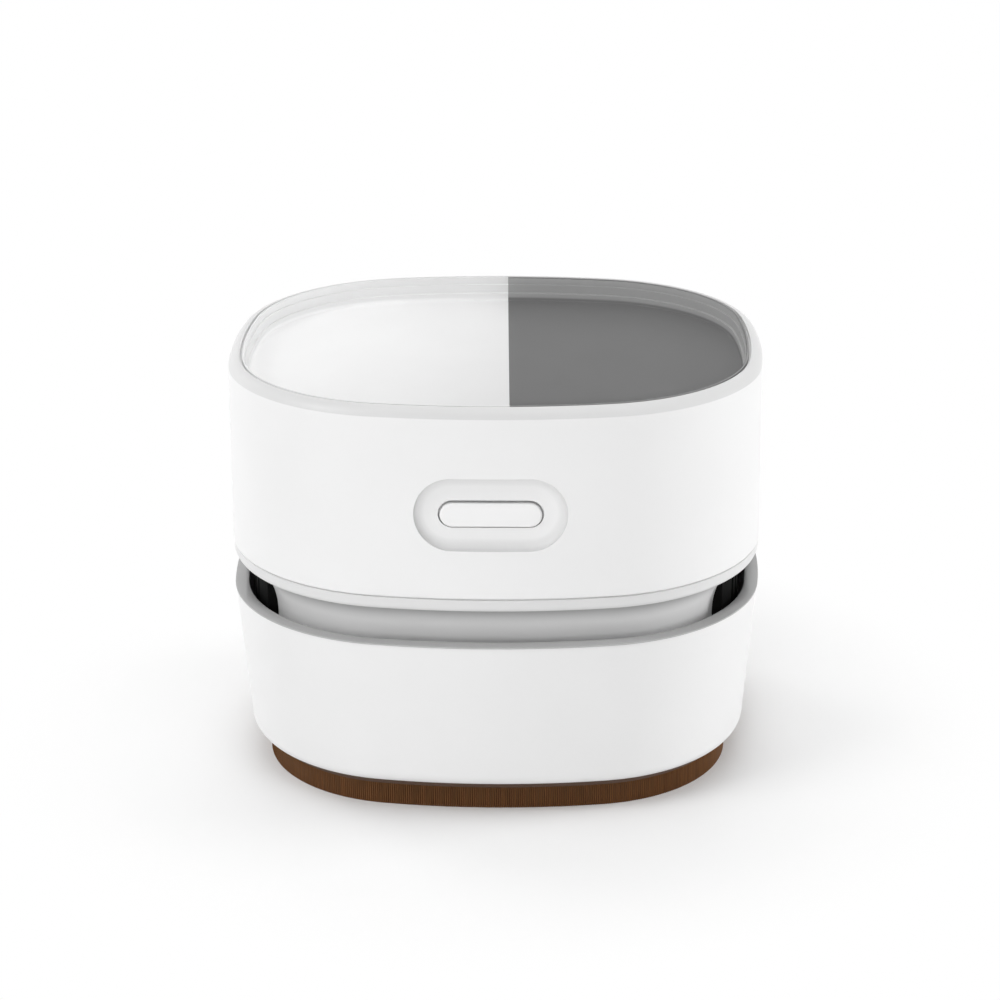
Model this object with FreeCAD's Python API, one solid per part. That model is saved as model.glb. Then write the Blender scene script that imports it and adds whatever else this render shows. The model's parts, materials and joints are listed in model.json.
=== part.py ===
"""Desktop mini vacuum cleaner: an oval motor head that stands in an oval dust cup with a brush ring below.

Millimetres. The origin is the centre of the footprint on the desk, +Z is up and the power button faces -Y.
Most pieces follow one outline of eight tangent arcs. A place on it is given as an inset, measured inwards
from the widest line of the housing, so parallel walls stay parallel all the way round.
"""

import FreeCAD, Part
import math
import os

Vector = FreeCAD.Vector
UP = Vector(0, 0, 1)
ORIGIN = Vector(0, 0, 0)

# ---------------------------------------------------------------- plan outline
body_width = 90.0
body_depth = 80.0
front_arc_radius = 115.0
side_arc_radius = 108.0
corner_arc_radius = 30.4

# ---------------------------------------------------------------- heights, from the desk up
brush_height = 5.1
skirt_height = 26.0
waist_gap = 5.9
lip_height = 2.2
shell_height = 31.8

# ---------------------------------------------------------------- clearances
slip_gap = 0.1            # between pieces of one body that slide together
cup_gap = 0.3             # between pieces that lift out and the cup
running_gap = 0.05        # a shaft in its bearing
button_gap = 0.3          # round the power button
fan_gap = 0.9             # above and below the impeller

# ---------------------------------------------------------------- skirt and dust cup
skirt_top_inset = 0.12
skirt_foot_inset = 2.05
skirt_wall = 1.2
skirt_edge_inset = 3.6    # the bottom edge, after the rounding
skirt_edge_rise = 2.4
skirt_edge_bulge = 0.45
skirt_floor_wall = 1.2
skirt_floor_width = 3.6
liner_wall = 0.9
liner_rim_wall = 0.3      # the grey rim that lies on the skirt's top edge
liner_rim_proud = 0.15    # beyond the skirt's wall
liner_floor_wall = 1.0
ledge_depth = 7.5         # from the rim down to the filter's ledge
ledge_width = 1.6
ledge_wall = 1.0
ledge_gusset = 1.2

# ---------------------------------------------------------------- intake
intake_length = 34.0
intake_width = 14.0
intake_wall = 1.2
intake_rise = 7.6         # above the cup's floor
intake_flange = 1.6
intake_flange_wall = 1.0

# ---------------------------------------------------------------- sole and brush
sole_wall = 1.2
sole_sink = 0.2           # above the skirt's bottom edge
carrier_margin = 0.1      # inside the sole's edge
carrier_width = 3.6
carrier_height = 1.6
bristle_margin = 0.45
bristle_width = 2.4
bristle_root = 0.9
bristle_splay = 0.4
foot_radius = 3.0
foot_face_radius = 2.3
foot_bevel = 0.7
foot_inset = 13.0
foot_angle = 42.0
sole_screw_x = 12.0
sole_screw_y = 24.0
sole_boss_radius = 2.6
sole_boss_height = 4.0

# ---------------------------------------------------------------- filter
filter_deck_wall = 1.6
filter_well_inset = 13.0
filter_well_wall = 1.2
filter_well_depth = 5.8
filter_lip = 1.2
filter_lip_wall = 1.0
filter_tab_length = 10.0
filter_tab_wall = 1.1
filter_tab_height = 2.4
pleat_pitch = 4.0
pleat_height = 4.8
pleat_wall = 1.1
seal_inset = 6.4
seal_width = 1.6
seal_proud = 0.4
seal_root = 0.6

# ---------------------------------------------------------------- waist
waist_inset = 5.2
waist_flare_inset = 2.7
waist_cove_height = 7.4
waist_wall = 1.2
waist_seam_angle = 29.0
grille_inset = 3.4
grille_wall = 1.4
grille_post_angle = 2.6
louvre_pitch = 2.4
louvre_width = 1.2
louvre_count = 15
louvre_margin = 1.6

# ---------------------------------------------------------------- fan
fan_plate_wall = 1.7
fan_inlet_radius = 9.0
inlet_spoke_width = 1.0
inlet_spoke_count = 6
inlet_hub_radius = 2.6
scroll_gap = 2.6          # between the impeller and the scroll
scroll_wall = 1.2
scroll_half_angle = 52.0
fan_post_side_inset = 25.0
fan_post_front_inset = 14.0
fan_post_radius = 2.8
impeller_radius = 21.0
impeller_plate_wall = 1.2
impeller_hub_radius = 3.2
blade_count = 9
blade_wall = 0.9
blade_sweep = 38.0
blade_bow = 0.62
blade_root_radius = 9.6

# ---------------------------------------------------------------- head: pan, shell, tray and lens
pan_inset = 0.15
pan_wall = 2.2
pan_bevel = 0.5
tongue_wall = 1.0
tongue_height = 1.8
shell_wall = 1.8
shell_draft = 0.35
rim_width = 2.3
rim_drop = 1.6
rim_bulge = 0.35
tray_wall = 0.5
tray_step_depth = 2.9
tray_step = 0.35
tray_depth = 4.3
tray_floor_wall = 1.2
tray_ledge_wall = 1.2
tray_ledge_width = 2.3
tray_seam_x = 2.1
tray_seam_turn = 1.4      # the seam's slant in plan, in degrees
lens_sink = 0.15
lens_wall = 1.2
lens_seat = 0.3
boss_inset = 9.4
boss_angle = 30.0
boss_radius = 2.6
boss_rib_wall = 1.4

# ---------------------------------------------------------------- button and boards
button_drop = 0.3         # its centre line, below the dish's
button_length = 16.2
button_width = 4.0
button_sink = 1.3         # below the housing's surface
button_bevel = 0.35
button_flange = 1.4
button_flange_wall = 0.9
button_travel = 0.8
dish_height = 53.6        # its centre line above the desk
dish_length = 24.4
dish_width = 12.1
dish_depth = 1.6
dish_round = 1.4
pad_margin = 1.4
pad_wall = 1.2
board_wall = 1.2
board_length = 40.0
board_height = 21.0
switch_size = 6.0
switch_depth = 3.4
plunger_radius = 1.6
plunger_length = 1.1
board_rail_wall = 1.2
board_rail_height = 3.0

# ---------------------------------------------------------------- motor
motor_radius = 12.2
motor_length = 20.0
motor_bevel = 1.0
motor_nose_radius = 3.5
motor_nose_length = 1.8
motor_cap_radius = 10.6
motor_cap_wall = 1.4
terminal_length = 2.6
terminal_height = 1.9
terminal_wall = 0.5
shaft_radius = 1.0
shaft_tail = 0.6
damper_wall = 1.0
damper_height = 7.0
mount_wall = 1.4
mount_height = 10.0
mount_ear_x = 18.2
mount_ear_radius = 3.0

# ---------------------------------------------------------------- battery and charging
battery_radius = 7.1
battery_length = 50.0
battery_gap = 0.5         # between the motor's mount and the cell
battery_height = 12.0     # its axis above the pan's top
battery_button_radius = 2.75
battery_button_height = 1.0
saddle_x = 18.5
saddle_wall = 3.0
saddle_margin = 1.5
charge_board_length = 26.0
charge_board_depth = 12.6
stand_off = 1.8
stand_off_radius = 1.6
socket_length = 8.94
socket_height = 3.26
socket_depth = 7.4
socket_shell_wall = 0.3
socket_tongue_length = 6.7
socket_tongue_wall = 0.7
plug_recess_length = 12.4
plug_recess_height = 6.4
plug_recess_depth = 0.7
light_pipe_x = 10.4
light_pipe_radius = 1.0

# ---------------------------------------------------------------- fasteners
screw_radius = 1.25
screw_head_radius = 2.2
screw_head_height = 1.3
screw_length = 7.0

# ---------------------------------------------------------------- levels worked out from the sizes above
half_width = body_width / 2
half_depth = body_depth / 2
skirt_bottom = brush_height
skirt_top = skirt_bottom + skirt_height
lip_bottom = skirt_top + waist_gap
part_line = lip_bottom + lip_height
body_top = part_line + shell_height

carrier_inset = skirt_edge_inset + skirt_wall + slip_gap + carrier_margin
sole_bottom = skirt_bottom + sole_sink
sole_top = sole_bottom + sole_wall
liner_bottom = sole_top + skirt_floor_wall
cup_floor = liner_bottom + liner_floor_wall
ledge_top = skirt_top - ledge_depth
deck_top = ledge_top + filter_deck_wall
fan_plate_bottom = deck_top + seal_proud
fan_plate_top = fan_plate_bottom + fan_plate_wall
pan_top = lip_bottom + pan_wall
skirt_slope = (skirt_foot_inset - skirt_top_inset) / (skirt_height - skirt_edge_rise)
lens_top = body_top - lens_sink
lens_bottom = lens_top - lens_wall
tray_floor = body_top - tray_depth
tray_bottom = tray_floor - tray_floor_wall
motor_bottom = pan_top + motor_nose_length
motor_top = motor_bottom + motor_length
impeller_top = lip_bottom - fan_gap
impeller_bottom = fan_plate_top + fan_gap
scroll_radius = impeller_radius + scroll_gap
fan_post_x = half_width - fan_post_side_inset
fan_post_y = half_depth - fan_post_front_inset
button_height = dish_height - button_drop
battery_y = motor_radius + damper_wall + mount_wall + battery_gap + battery_radius


# ================================================================ shared geometry
def outline_arcs():
    """The outline's arcs, anticlockwise from +X: centre x, centre y, radius, first and last angle."""
    side_x = half_width - side_arc_radius
    front_y = half_depth - front_arc_radius
    from_side = side_arc_radius - corner_arc_radius
    from_front = front_arc_radius - corner_arc_radius
    apart = math.hypot(side_x, front_y)
    along = (from_side ** 2 - from_front ** 2 + apart ** 2) / (2 * apart)
    across = math.sqrt(from_side ** 2 - along ** 2)
    step_x, step_y = -side_x / apart, front_y / apart
    corner_x = side_x + along * step_x - across * step_y
    corner_y = along * step_y + across * step_x
    side = math.degrees(math.atan2(corner_y, corner_x - side_x))
    front = math.degrees(math.atan2(corner_y - front_y, corner_x))
    return [
        (side_x, 0.0, side_arc_radius, -side, side),
        (corner_x, corner_y, corner_arc_radius, side, front),
        (0.0, front_y, front_arc_radius, front, 180 - front),
        (-corner_x, corner_y, corner_arc_radius, 180 - front, 180 - side),
        (-side_x, 0.0, side_arc_radius, 180 - side, 180 + side),
        (-corner_x, -corner_y, corner_arc_radius, 180 + side, 180 + front),
        (0.0, -front_y, front_arc_radius, 180 + front, 360 - front),
        (corner_x, -corner_y, corner_arc_radius, 360 - front, 360 - side),
    ]


def polar(x, y, radius, angle, z=0.0):
    """The point at a radius and an angle in degrees round (x, y)."""
    turn = math.radians(angle)
    return Vector(x + radius * math.cos(turn), y + radius * math.sin(turn), z)


def outline_wire(inset, z):
    """The closed outline at one inset and height."""
    edges = []
    for x, y, radius, first, last in outline_arcs():
        points = [polar(x, y, radius - inset, angle, z) for angle in (first, (first + last) / 2, last)]
        edges.append(Part.Arc(*points).toShape())
    return Part.Wire(edges)


def plate(inset, bottom, top):
    """A flat oval plate."""
    return Part.Face(outline_wire(inset, bottom)).extrude(UP * (top - bottom))


def profile_face(knots, place):
    """A face through (inset, z) knots. A third number makes the edge that ends there an arc of that rise."""
    edges = []
    start = knots[-1]
    for knot in knots:
        begin, end = place(start[0], start[1]), place(knot[0], knot[1])
        if len(knot) == 3:
            run, rise = knot[0] - start[0], knot[1] - start[1]
            length = math.hypot(run, rise)
            middle_inset = (start[0] + knot[0]) / 2 - knot[2] * rise / length
            middle_z = (start[1] + knot[1]) / 2 + knot[2] * run / length
            edges.append(Part.Arc(begin, place(middle_inset, middle_z), end).toShape())
        else:
            edges.append(Part.makeLine(begin, end))
        start = knot
    return Part.Face(Part.Wire(edges))


def ring(knots, first=None, last=None):
    """The profile carried round the outline, or along the stretch whose normals lie from first to last."""
    arcs = outline_arcs()
    first = arcs[0][3] if first is None else first
    last = arcs[-1][4] if last is None else last
    sectors = []
    for turn in (-360, 0):
        for x, y, radius, begin, end in arcs:
            low, high = max(begin + turn, first), min(end + turn, last)
            if high - low > 1e-6:
                face = profile_face(knots, lambda inset, z: polar(x, y, radius - inset, low, z))
                sectors.append(face.revolve(Vector(x, y, 0), UP, high - low))
    return joined(sectors)


def joined(shapes):
    """The shapes fused into one, with faces that continue each other merged."""
    return shapes[0].multiFuse(shapes[1:]).removeSplitter() if len(shapes) > 1 else shapes[0]


def outline_point(inset, angle):
    """The point of the inset outline whose outward normal has this angle."""
    for x, y, radius, first, last in outline_arcs():
        if first <= angle <= last:
            return polar(x, y, radius - inset, angle)
    raise ValueError("the angle lies outside the outline")


def four_corners(x, y):
    """The four places that mirror (x, y) in both axes."""
    return [(sx * x, sy * y) for sx in (1, -1) for sy in (1, -1)]


def post(x, y, radius, bottom, top):
    """An upright cylinder."""
    return Part.makeCylinder(radius, top - bottom, Vector(x, y, bottom), UP)


def tube(outer, inner, bottom, top):
    """An upright tube round the Z axis."""
    return post(0, 0, outer, bottom, top).cut(post(0, 0, inner, bottom, top))


def block(x0, x1, y0, y1, z0, z1):
    """An axis-aligned block between two corners."""
    return Part.makeBox(x1 - x0, y1 - y0, z1 - z0, Vector(x0, y0, z0))


def pill_face(length, width, z=0.0):
    """A flat face with two straight sides and two half-round ends, long along X."""
    end, reach = length / 2 - width / 2, width / 2
    edges = [
        Part.makeLine(Vector(-end, -reach, z), Vector(end, -reach, z)),
        Part.Arc(Vector(end, -reach, z), Vector(end + reach, 0, z), Vector(end, reach, z)).toShape(),
        Part.makeLine(Vector(end, reach, z), Vector(-end, reach, z)),
        Part.Arc(Vector(-end, reach, z), Vector(-end - reach, 0, z), Vector(-end, -reach, z)).toShape(),
    ]
    return Part.Face(Part.Wire(edges))


def pill(length, width, bottom, top):
    """An upright prism over a pill."""
    return pill_face(length, width, bottom).extrude(UP * (top - bottom))


def to_front(shape, y, z):
    """Turns a shape that grows along +Z to grow along -Y from y, with its centre line at height z."""
    turned = shape.copy()
    turned.rotate(ORIGIN, Vector(1, 0, 0), 90)
    turned.translate(Vector(0, y, z))
    return turned


def to_rear(shape, y, z):
    """Turns a shape that grows along +Z to grow along +Y from y, with its centre line at height z."""
    turned = shape.copy()
    turned.rotate(ORIGIN, Vector(1, 0, 0), -90)
    turned.translate(Vector(0, y, z))
    return turned


def end_edges(shape, z):
    """The edges of a prism that lie flat at height z."""
    return [edge for edge in shape.Edges if all(abs(v.Z - z) < 1e-6 for v in edge.Vertexes)]


def screw(x, y, head_face, grows, length):
    """A round-headed screw. grows is +1 where the shank points up, -1 where it points down."""
    along = Vector(0, 0, grows)
    head = Part.makeCylinder(screw_head_radius, screw_head_height, Vector(x, y, head_face), along)
    shank = Part.makeCylinder(screw_radius, length + screw_head_height, Vector(x, y, head_face), along)
    return head.fuse(shank)


def skirt_inset(z):
    """The skirt's outer inset at a height on its drafted wall."""
    return skirt_top_inset + skirt_slope * (skirt_top - z)


def liner_outer(z):
    """The cup liner's outer inset, a slip gap inside the skirt's wall."""
    return skirt_inset(z) + skirt_wall + slip_gap


def liner_inner(z):
    """The cup liner's inner inset."""
    return liner_outer(z) + liner_wall


def shell_inset(z):
    """The upper shell's outer inset at a height on its drafted wall."""
    return shell_draft * (z - part_line) / (shell_height - rim_drop)


# ================================================================ dust cup
def skirt_shell():
    """The white outer skirt: drafted wall, rounded bottom edge and an inner flange that carries the cup."""
    edge = skirt_top - liner_rim_wall
    wall_foot = skirt_bottom + skirt_edge_rise
    return ring([
        (skirt_inset(edge), edge),
        (skirt_inset(wall_foot), wall_foot),
        (skirt_edge_inset, skirt_bottom, -skirt_edge_bulge),
        (skirt_edge_inset + skirt_wall, skirt_bottom),
        (skirt_edge_inset + skirt_wall, sole_top),
        (skirt_edge_inset + skirt_wall + skirt_floor_width, sole_top),
        (skirt_edge_inset + skirt_wall + skirt_floor_width, liner_bottom),
        (skirt_inset(liner_bottom) + skirt_wall, liner_bottom),
        (skirt_inset(edge) + skirt_wall, edge),
    ])


def cup_liner():
    """The grey dust cup inside the skirt, with its rim, the filter's ledge and four screw bosses."""
    edge = skirt_top - liner_rim_wall
    ledge_bottom = ledge_top - ledge_wall
    gusset_foot = ledge_bottom - ledge_gusset
    wall = ring([
        (skirt_inset(edge) - liner_rim_proud, skirt_top),
        (skirt_inset(edge) - liner_rim_proud, edge),
        (liner_outer(edge), edge),
        (liner_outer(liner_bottom), liner_bottom),
        (liner_inner(liner_bottom) + liner_wall, liner_bottom),
        (liner_inner(cup_floor) + liner_wall, cup_floor),
        (liner_inner(cup_floor), cup_floor),
        (liner_inner(gusset_foot), gusset_foot),
        (liner_inner(ledge_top) + ledge_width, ledge_bottom),
        (liner_inner(ledge_top) + ledge_width, ledge_top),
        (liner_inner(ledge_top), ledge_top),
        (liner_inner(skirt_top), skirt_top),
    ])
    floor = plate(liner_inner(cup_floor), liner_bottom, cup_floor)
    boss_top = cup_floor + sole_boss_height
    places = four_corners(sole_screw_x, sole_screw_y)
    body = joined([wall, floor] + [post(x, y, sole_boss_radius, sole_top, boss_top) for x, y in places])
    for x, y in places:
        body = body.cut(post(x, y, screw_radius, sole_top, boss_top - liner_floor_wall))
    return body.cut(pill(intake_length + 2 * slip_gap, intake_width + 2 * slip_gap, liner_bottom, cup_floor))


def intake_duct():
    """The pill-shaped chimney that keeps dust from falling back out, with a flange on the cup's floor."""
    top = cup_floor + intake_rise
    outer = pill(intake_length, intake_width, sole_bottom, top)
    outer = outer.makeChamfer(intake_wall / 2, end_edges(outer, top))
    edge, wall = 2 * intake_flange, 2 * intake_wall
    flange = pill(intake_length + edge, intake_width + edge, cup_floor, cup_floor + intake_flange_wall)
    bore = pill(intake_length - wall, intake_width - wall, sole_bottom, top)
    return outer.fuse(flange).cut(bore).removeSplitter()


def sole_plate():
    """The brown sole, screwed up against the skirt's flange."""
    sole = plate(skirt_edge_inset + skirt_wall + slip_gap, sole_bottom, sole_top)
    sole = sole.cut(pill(intake_length + 2 * slip_gap, intake_width + 2 * slip_gap, sole_bottom, sole_top))
    for x, y in four_corners(sole_screw_x, sole_screw_y):
        sole = sole.cut(post(x, y, screw_radius + slip_gap, sole_bottom, sole_top))
    return sole


def brush_carrier():
    """The ring under the sole that holds the bristles in a groove."""
    bottom = sole_bottom - carrier_height
    groove_outer = carrier_inset + bristle_margin
    groove_top = bottom + bristle_root
    return ring([
        (carrier_inset, sole_bottom),
        (carrier_inset, bottom),
        (groove_outer, bottom),
        (groove_outer, groove_top),
        (groove_outer + bristle_width, groove_top),
        (groove_outer + bristle_width, bottom),
        (carrier_inset + carrier_width, bottom),
        (carrier_inset + carrier_width, sole_bottom),
    ])


def bristle_ring():
    """The envelope of the bristles, rooted in the carrier's groove and splayed towards the desk."""
    root_bottom = sole_bottom - carrier_height
    outer = carrier_inset + bristle_margin
    return ring([
        (outer, root_bottom + bristle_root),
        (outer, root_bottom),
        (outer - bristle_splay, 0),
        (outer + bristle_width + bristle_splay, 0),
        (outer + bristle_width, root_bottom),
        (outer + bristle_width, root_bottom + bristle_root),
    ])


def glide_feet():
    """Four slippery feet that carry the cleaner on the desk."""
    corner = outline_point(foot_inset, foot_angle)
    feet = []
    for x, y in four_corners(corner.x, corner.y):
        bevel = Part.makeCone(foot_face_radius, foot_radius, foot_bevel, Vector(x, y, 0), UP)
        feet.append(bevel.fuse(post(x, y, foot_radius, foot_bevel, sole_bottom)))
    return Part.makeCompound(feet)


def sole_screws():
    """The four screws that hold the sole, the skirt and the cup together."""
    face = sole_bottom - screw_head_height
    return Part.makeCompound([
        screw(x, y, face, 1, cup_floor + sole_boss_height - 2 * liner_floor_wall - sole_bottom)
        for x, y in four_corners(sole_screw_x, sole_screw_y)
    ])


# ================================================================ filter
def filter_frame():
    """The black frame on the cup's ledge: a deck with finger tabs and a well that holds the filter."""
    well_bottom = ledge_top - filter_well_depth
    well_inner = filter_well_inset + filter_well_wall
    deck_inset = liner_inner(ledge_top) + cup_gap
    frame = ring([
        (deck_inset, ledge_top),
        (filter_well_inset, ledge_top),
        (filter_well_inset, well_bottom),
        (well_inner + filter_lip, well_bottom),
        (well_inner + filter_lip, well_bottom + filter_lip_wall),
        (well_inner, well_bottom + filter_lip_wall),
        (well_inner, deck_top),
        (deck_inset, deck_top),
    ])
    reach = math.degrees(filter_tab_length / 2 / front_arc_radius)
    tab = [
        (deck_inset, ledge_top),
        (deck_inset, deck_top + filter_tab_height - filter_tab_wall),
        (deck_inset + filter_tab_wall / 2, deck_top + filter_tab_height),
        (deck_inset + filter_tab_wall, deck_top + filter_tab_height),
        (deck_inset + filter_tab_wall, ledge_top),
    ]
    return joined([frame] + [ring(tab, middle - reach, middle + reach) for middle in (90, 270)])


def filter_media():
    """The pleated filter, folded along Y, trimmed to the well."""
    bottom = ledge_top - filter_well_depth + filter_lip_wall
    inset = filter_well_inset + filter_well_wall + slip_gap
    reach = half_width - inset
    folds = int(math.ceil(2 * reach / pleat_pitch))
    lower, upper = [], []
    for i in range(2 * folds + 1):
        x = -folds * pleat_pitch / 2 + i * pleat_pitch / 2
        rise = (pleat_height - pleat_wall) * (i % 2)
        lower.append(Vector(x, -half_depth, bottom + rise))
        upper.append(Vector(x, -half_depth, bottom + rise + pleat_wall))
    sheet = Part.Face(Part.makePolygon(lower + upper[::-1] + [lower[0]])).extrude(Vector(0, body_depth, 0))
    return sheet.common(plate(inset, bottom, bottom + pleat_height))


def cup_seal():
    """The soft ring between the fan plate and the filter's deck."""
    return ring([
        (seal_inset, deck_top),
        (seal_inset, deck_top + seal_proud + seal_root),
        (seal_inset + seal_width, deck_top + seal_proud + seal_root),
        (seal_inset + seal_width, deck_top),
    ])


# ================================================================ waist and fan housing
def waist_cover(middle):
    """One grey cove-shaped wall of the waist, centred on the outward normal's angle middle."""
    reach = 90 - waist_seam_angle
    cove_foot = lip_bottom - waist_cove_height
    flare = waist_inset - waist_flare_inset
    cove_radius = (flare ** 2 + waist_cove_height ** 2) / (2 * flare)
    half_chord = math.hypot(flare, waist_cove_height) / 2
    bulge = cove_radius - math.sqrt(cove_radius ** 2 - half_chord ** 2)
    return ring([
        (waist_inset, fan_plate_top),
        (waist_inset, cove_foot),
        (waist_flare_inset, lip_bottom, bulge),
        (waist_inset + waist_wall, lip_bottom),
        (waist_inset + waist_wall, fan_plate_top),
    ], middle - reach, middle + reach)


def exhaust_grille(side):
    """The black louvred exhaust window at one end of the waist. side is +1 for +X."""
    first, last = -waist_seam_angle, waist_seam_angle
    inner = waist_inset + waist_wall
    panel = ring([
        (grille_inset, fan_plate_top),
        (grille_inset, lip_bottom),
        (grille_inset + grille_wall, lip_bottom),
        (grille_inset + grille_wall, fan_plate_top),
    ], first, last)
    post_profile = [
        (grille_inset, fan_plate_top),
        (grille_inset, lip_bottom),
        (inner, lip_bottom),
        (inner, fan_plate_top),
    ]
    posts = [
        ring(post_profile, first, first + grille_post_angle),
        ring(post_profile, last - grille_post_angle, last),
    ]
    grille = joined([panel] + posts)
    bottom, top = fan_plate_top + louvre_margin, lip_bottom - louvre_margin
    slots = []
    for i in range(louvre_count):
        y = (i - (louvre_count - 1) / 2) * louvre_pitch
        slots.append(block(0, half_width, y - louvre_width / 2, y + louvre_width / 2, bottom, top))
    grille = grille.cut(Part.makeCompound(slots))
    if side < 0:
        grille.rotate(ORIGIN, UP, 180)
    return grille


def fan_housing():
    """The waist's floor: plate with the spoked inlet, two scroll walls, screw posts and the seal's groove."""
    edge = [
        (grille_inset, fan_plate_bottom),
        (grille_inset, fan_plate_top),
        (waist_inset + waist_wall, fan_plate_top),
        (waist_inset + waist_wall, fan_plate_bottom),
    ]
    ends = [ring(edge, m - waist_seam_angle, m + waist_seam_angle) for m in (0, 180)]
    floor = joined([plate(waist_inset, fan_plate_bottom, fan_plate_top)] + ends)
    floor = floor.cut(post(0, 0, fan_inlet_radius, fan_plate_bottom, fan_plate_top))
    spokes = [post(0, 0, inlet_hub_radius, fan_plate_bottom, fan_plate_top)]
    for i in range(inlet_spoke_count // 2):
        half = inlet_spoke_width / 2
        spoke = block(
            -fan_inlet_radius - half, fan_inlet_radius + half, -half, half, fan_plate_bottom, fan_plate_top
        )
        spoke.rotate(ORIGIN, UP, i * 360 / inlet_spoke_count)
        spokes.append(spoke)
    scroll = tube(scroll_radius + scroll_wall, scroll_radius, fan_plate_top, lip_bottom)
    walls = []
    for middle in (90, 270):
        wedge = Part.makeCylinder(body_width, lip_bottom, ORIGIN, UP, 2 * scroll_half_angle)
        wedge.rotate(ORIGIN, UP, middle - scroll_half_angle)
        walls.append(scroll.common(wedge))
    places = four_corners(fan_post_x, fan_post_y)
    posts = [post(x, y, fan_post_radius, fan_plate_bottom, lip_bottom) for x, y in places]
    body = joined([floor] + spokes + walls + posts)
    head_top = fan_plate_bottom + screw_head_height
    for x, y in places:
        body = body.cut(post(x, y, screw_radius + slip_gap, fan_plate_bottom, lip_bottom))
        body = body.cut(post(x, y, screw_head_radius + slip_gap, fan_plate_bottom, head_top))
    groove = ring([
        (seal_inset, fan_plate_bottom),
        (seal_inset, fan_plate_bottom + seal_root),
        (seal_inset + seal_width, fan_plate_bottom + seal_root),
        (seal_inset + seal_width, fan_plate_bottom),
    ])
    return body.cut(groove)


def fan_screws():
    """The four long screws that hold the waist under the pan."""
    reach = lip_bottom + pan_wall / 2 - fan_plate_bottom - screw_head_height
    return Part.makeCompound([
        screw(x, y, fan_plate_bottom, 1, reach) for x, y in four_corners(fan_post_x, fan_post_y)
    ])


def impeller():
    """The radial fan: a back plate, a hub on the shaft and blades swept backwards."""
    plate_bottom = impeller_top - impeller_plate_wall
    disc = post(0, 0, impeller_radius, plate_bottom, impeller_top)
    hub = post(0, 0, impeller_hub_radius, impeller_bottom, impeller_top)
    stations = [
        (blade_root_radius, blade_sweep),
        ((impeller_radius + blade_root_radius) / 2, blade_sweep * blade_bow),
        (impeller_radius, 0),
    ]
    sides = []
    for wall in (0, blade_wall):
        sides.append([polar(0, 0, r, a + math.degrees(wall / r), impeller_bottom) for r, a in stations])
    outline = [Part.Arc(*side).toShape() for side in sides]
    outline += [Part.makeLine(sides[0][end], sides[1][end]) for end in (0, -1)]
    section = Part.Face(Part.Wire(Part.__sortEdges__(outline)))
    blade = section.extrude(UP * (plate_bottom - impeller_bottom))
    blades = []
    for i in range(blade_count):
        copy = blade.copy()
        copy.rotate(ORIGIN, UP, i * 360 / blade_count)
        blades.append(copy)
    body = joined([disc, hub] + blades)
    return body.cut(post(0, 0, shaft_radius, impeller_bottom, impeller_top))


def motor_shaft():
    """The motor's shaft, from the impeller's hub up through the motor."""
    return post(0, 0, shaft_radius, impeller_bottom, motor_top + motor_cap_wall + shaft_tail)


# ================================================================ pan and what stands on it
def belly_pan():
    """The head's floor: the lip under the parting line, a tongue inside the shell, rails and stand-offs."""
    pan = ring([
        (pan_inset, part_line),
        (pan_inset, lip_bottom + pan_bevel),
        (pan_inset + pan_bevel, lip_bottom),
        (shell_wall + slip_gap + tongue_wall, lip_bottom),
        (shell_wall + slip_gap + tongue_wall, part_line + tongue_height),
        (shell_wall + slip_gap, part_line + tongue_height),
        (shell_wall + slip_gap, part_line),
    ])
    floor = plate(shell_wall + slip_gap + tongue_wall, lip_bottom, pan_top)
    front, back = board_span()
    reach, wall = board_length / 2, board_rail_wall
    rail_top = pan_top + board_rail_height
    rail = block(-reach - wall, reach + wall, front - wall, back + wall, pan_top, rail_top)
    slot = block(-reach, reach, front, back, pan_top, rail_top)
    offs = [post(x, y, stand_off_radius, pan_top, pan_top + stand_off) for x, y in stand_off_places()]
    body = joined([pan, floor, rail.cut(slot)] + offs)
    body = body.cut(post(0, 0, motor_nose_radius + slip_gap, lip_bottom, pan_top))
    for x, y in boss_places():
        body = body.cut(post(x, y, screw_radius + slip_gap, lip_bottom, pan_top))
    for x, y in four_corners(fan_post_x, fan_post_y):
        body = body.cut(post(x, y, screw_radius, lip_bottom, lip_bottom + pan_wall / 2))
    for x in (-mount_ear_x, mount_ear_x):
        body = body.cut(post(x, 0, screw_radius, lip_bottom, pan_top))
    return body


def boss_places():
    """Where the shell's four screw bosses stand."""
    corner = outline_point(boss_inset, boss_angle)
    return four_corners(corner.x, corner.y)


def board_span():
    """The control board's front and back Y faces, set so that the switch just meets the plunger."""
    outer = button_seat() + button_flange_wall + plunger_length + switch_depth
    return outer, outer + board_wall


def stand_off_places():
    """Where the charge board's stand-offs stand."""
    rear = charge_board_rear() - stand_off_radius
    front = charge_board_rear() - charge_board_depth + stand_off_radius
    reach = charge_board_length / 2 - stand_off_radius
    return [(x, y) for x in (-reach, reach) for y in (front, rear)]


def charge_board_rear():
    """The charge board's rear edge, a slip gap from the shell's tongue."""
    return half_depth - shell_wall - slip_gap - tongue_wall - slip_gap


def motor_can():
    """The motor's steel can with its nose and the bearing bore."""
    can = post(0, 0, motor_radius, motor_bottom, motor_top)
    can = can.makeChamfer(motor_bevel, end_edges(can, motor_top))
    nose = post(0, 0, motor_nose_radius, pan_top, motor_bottom)
    return can.fuse(nose).cut(post(0, 0, shaft_radius + running_gap, pan_top, motor_top))


def motor_end_cap():
    """The plastic cap on the motor's tail."""
    cap = post(0, 0, motor_cap_radius, motor_top, motor_top + motor_cap_wall)
    return cap.cut(post(0, 0, shaft_radius + running_gap, motor_top, motor_top + motor_cap_wall))


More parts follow.
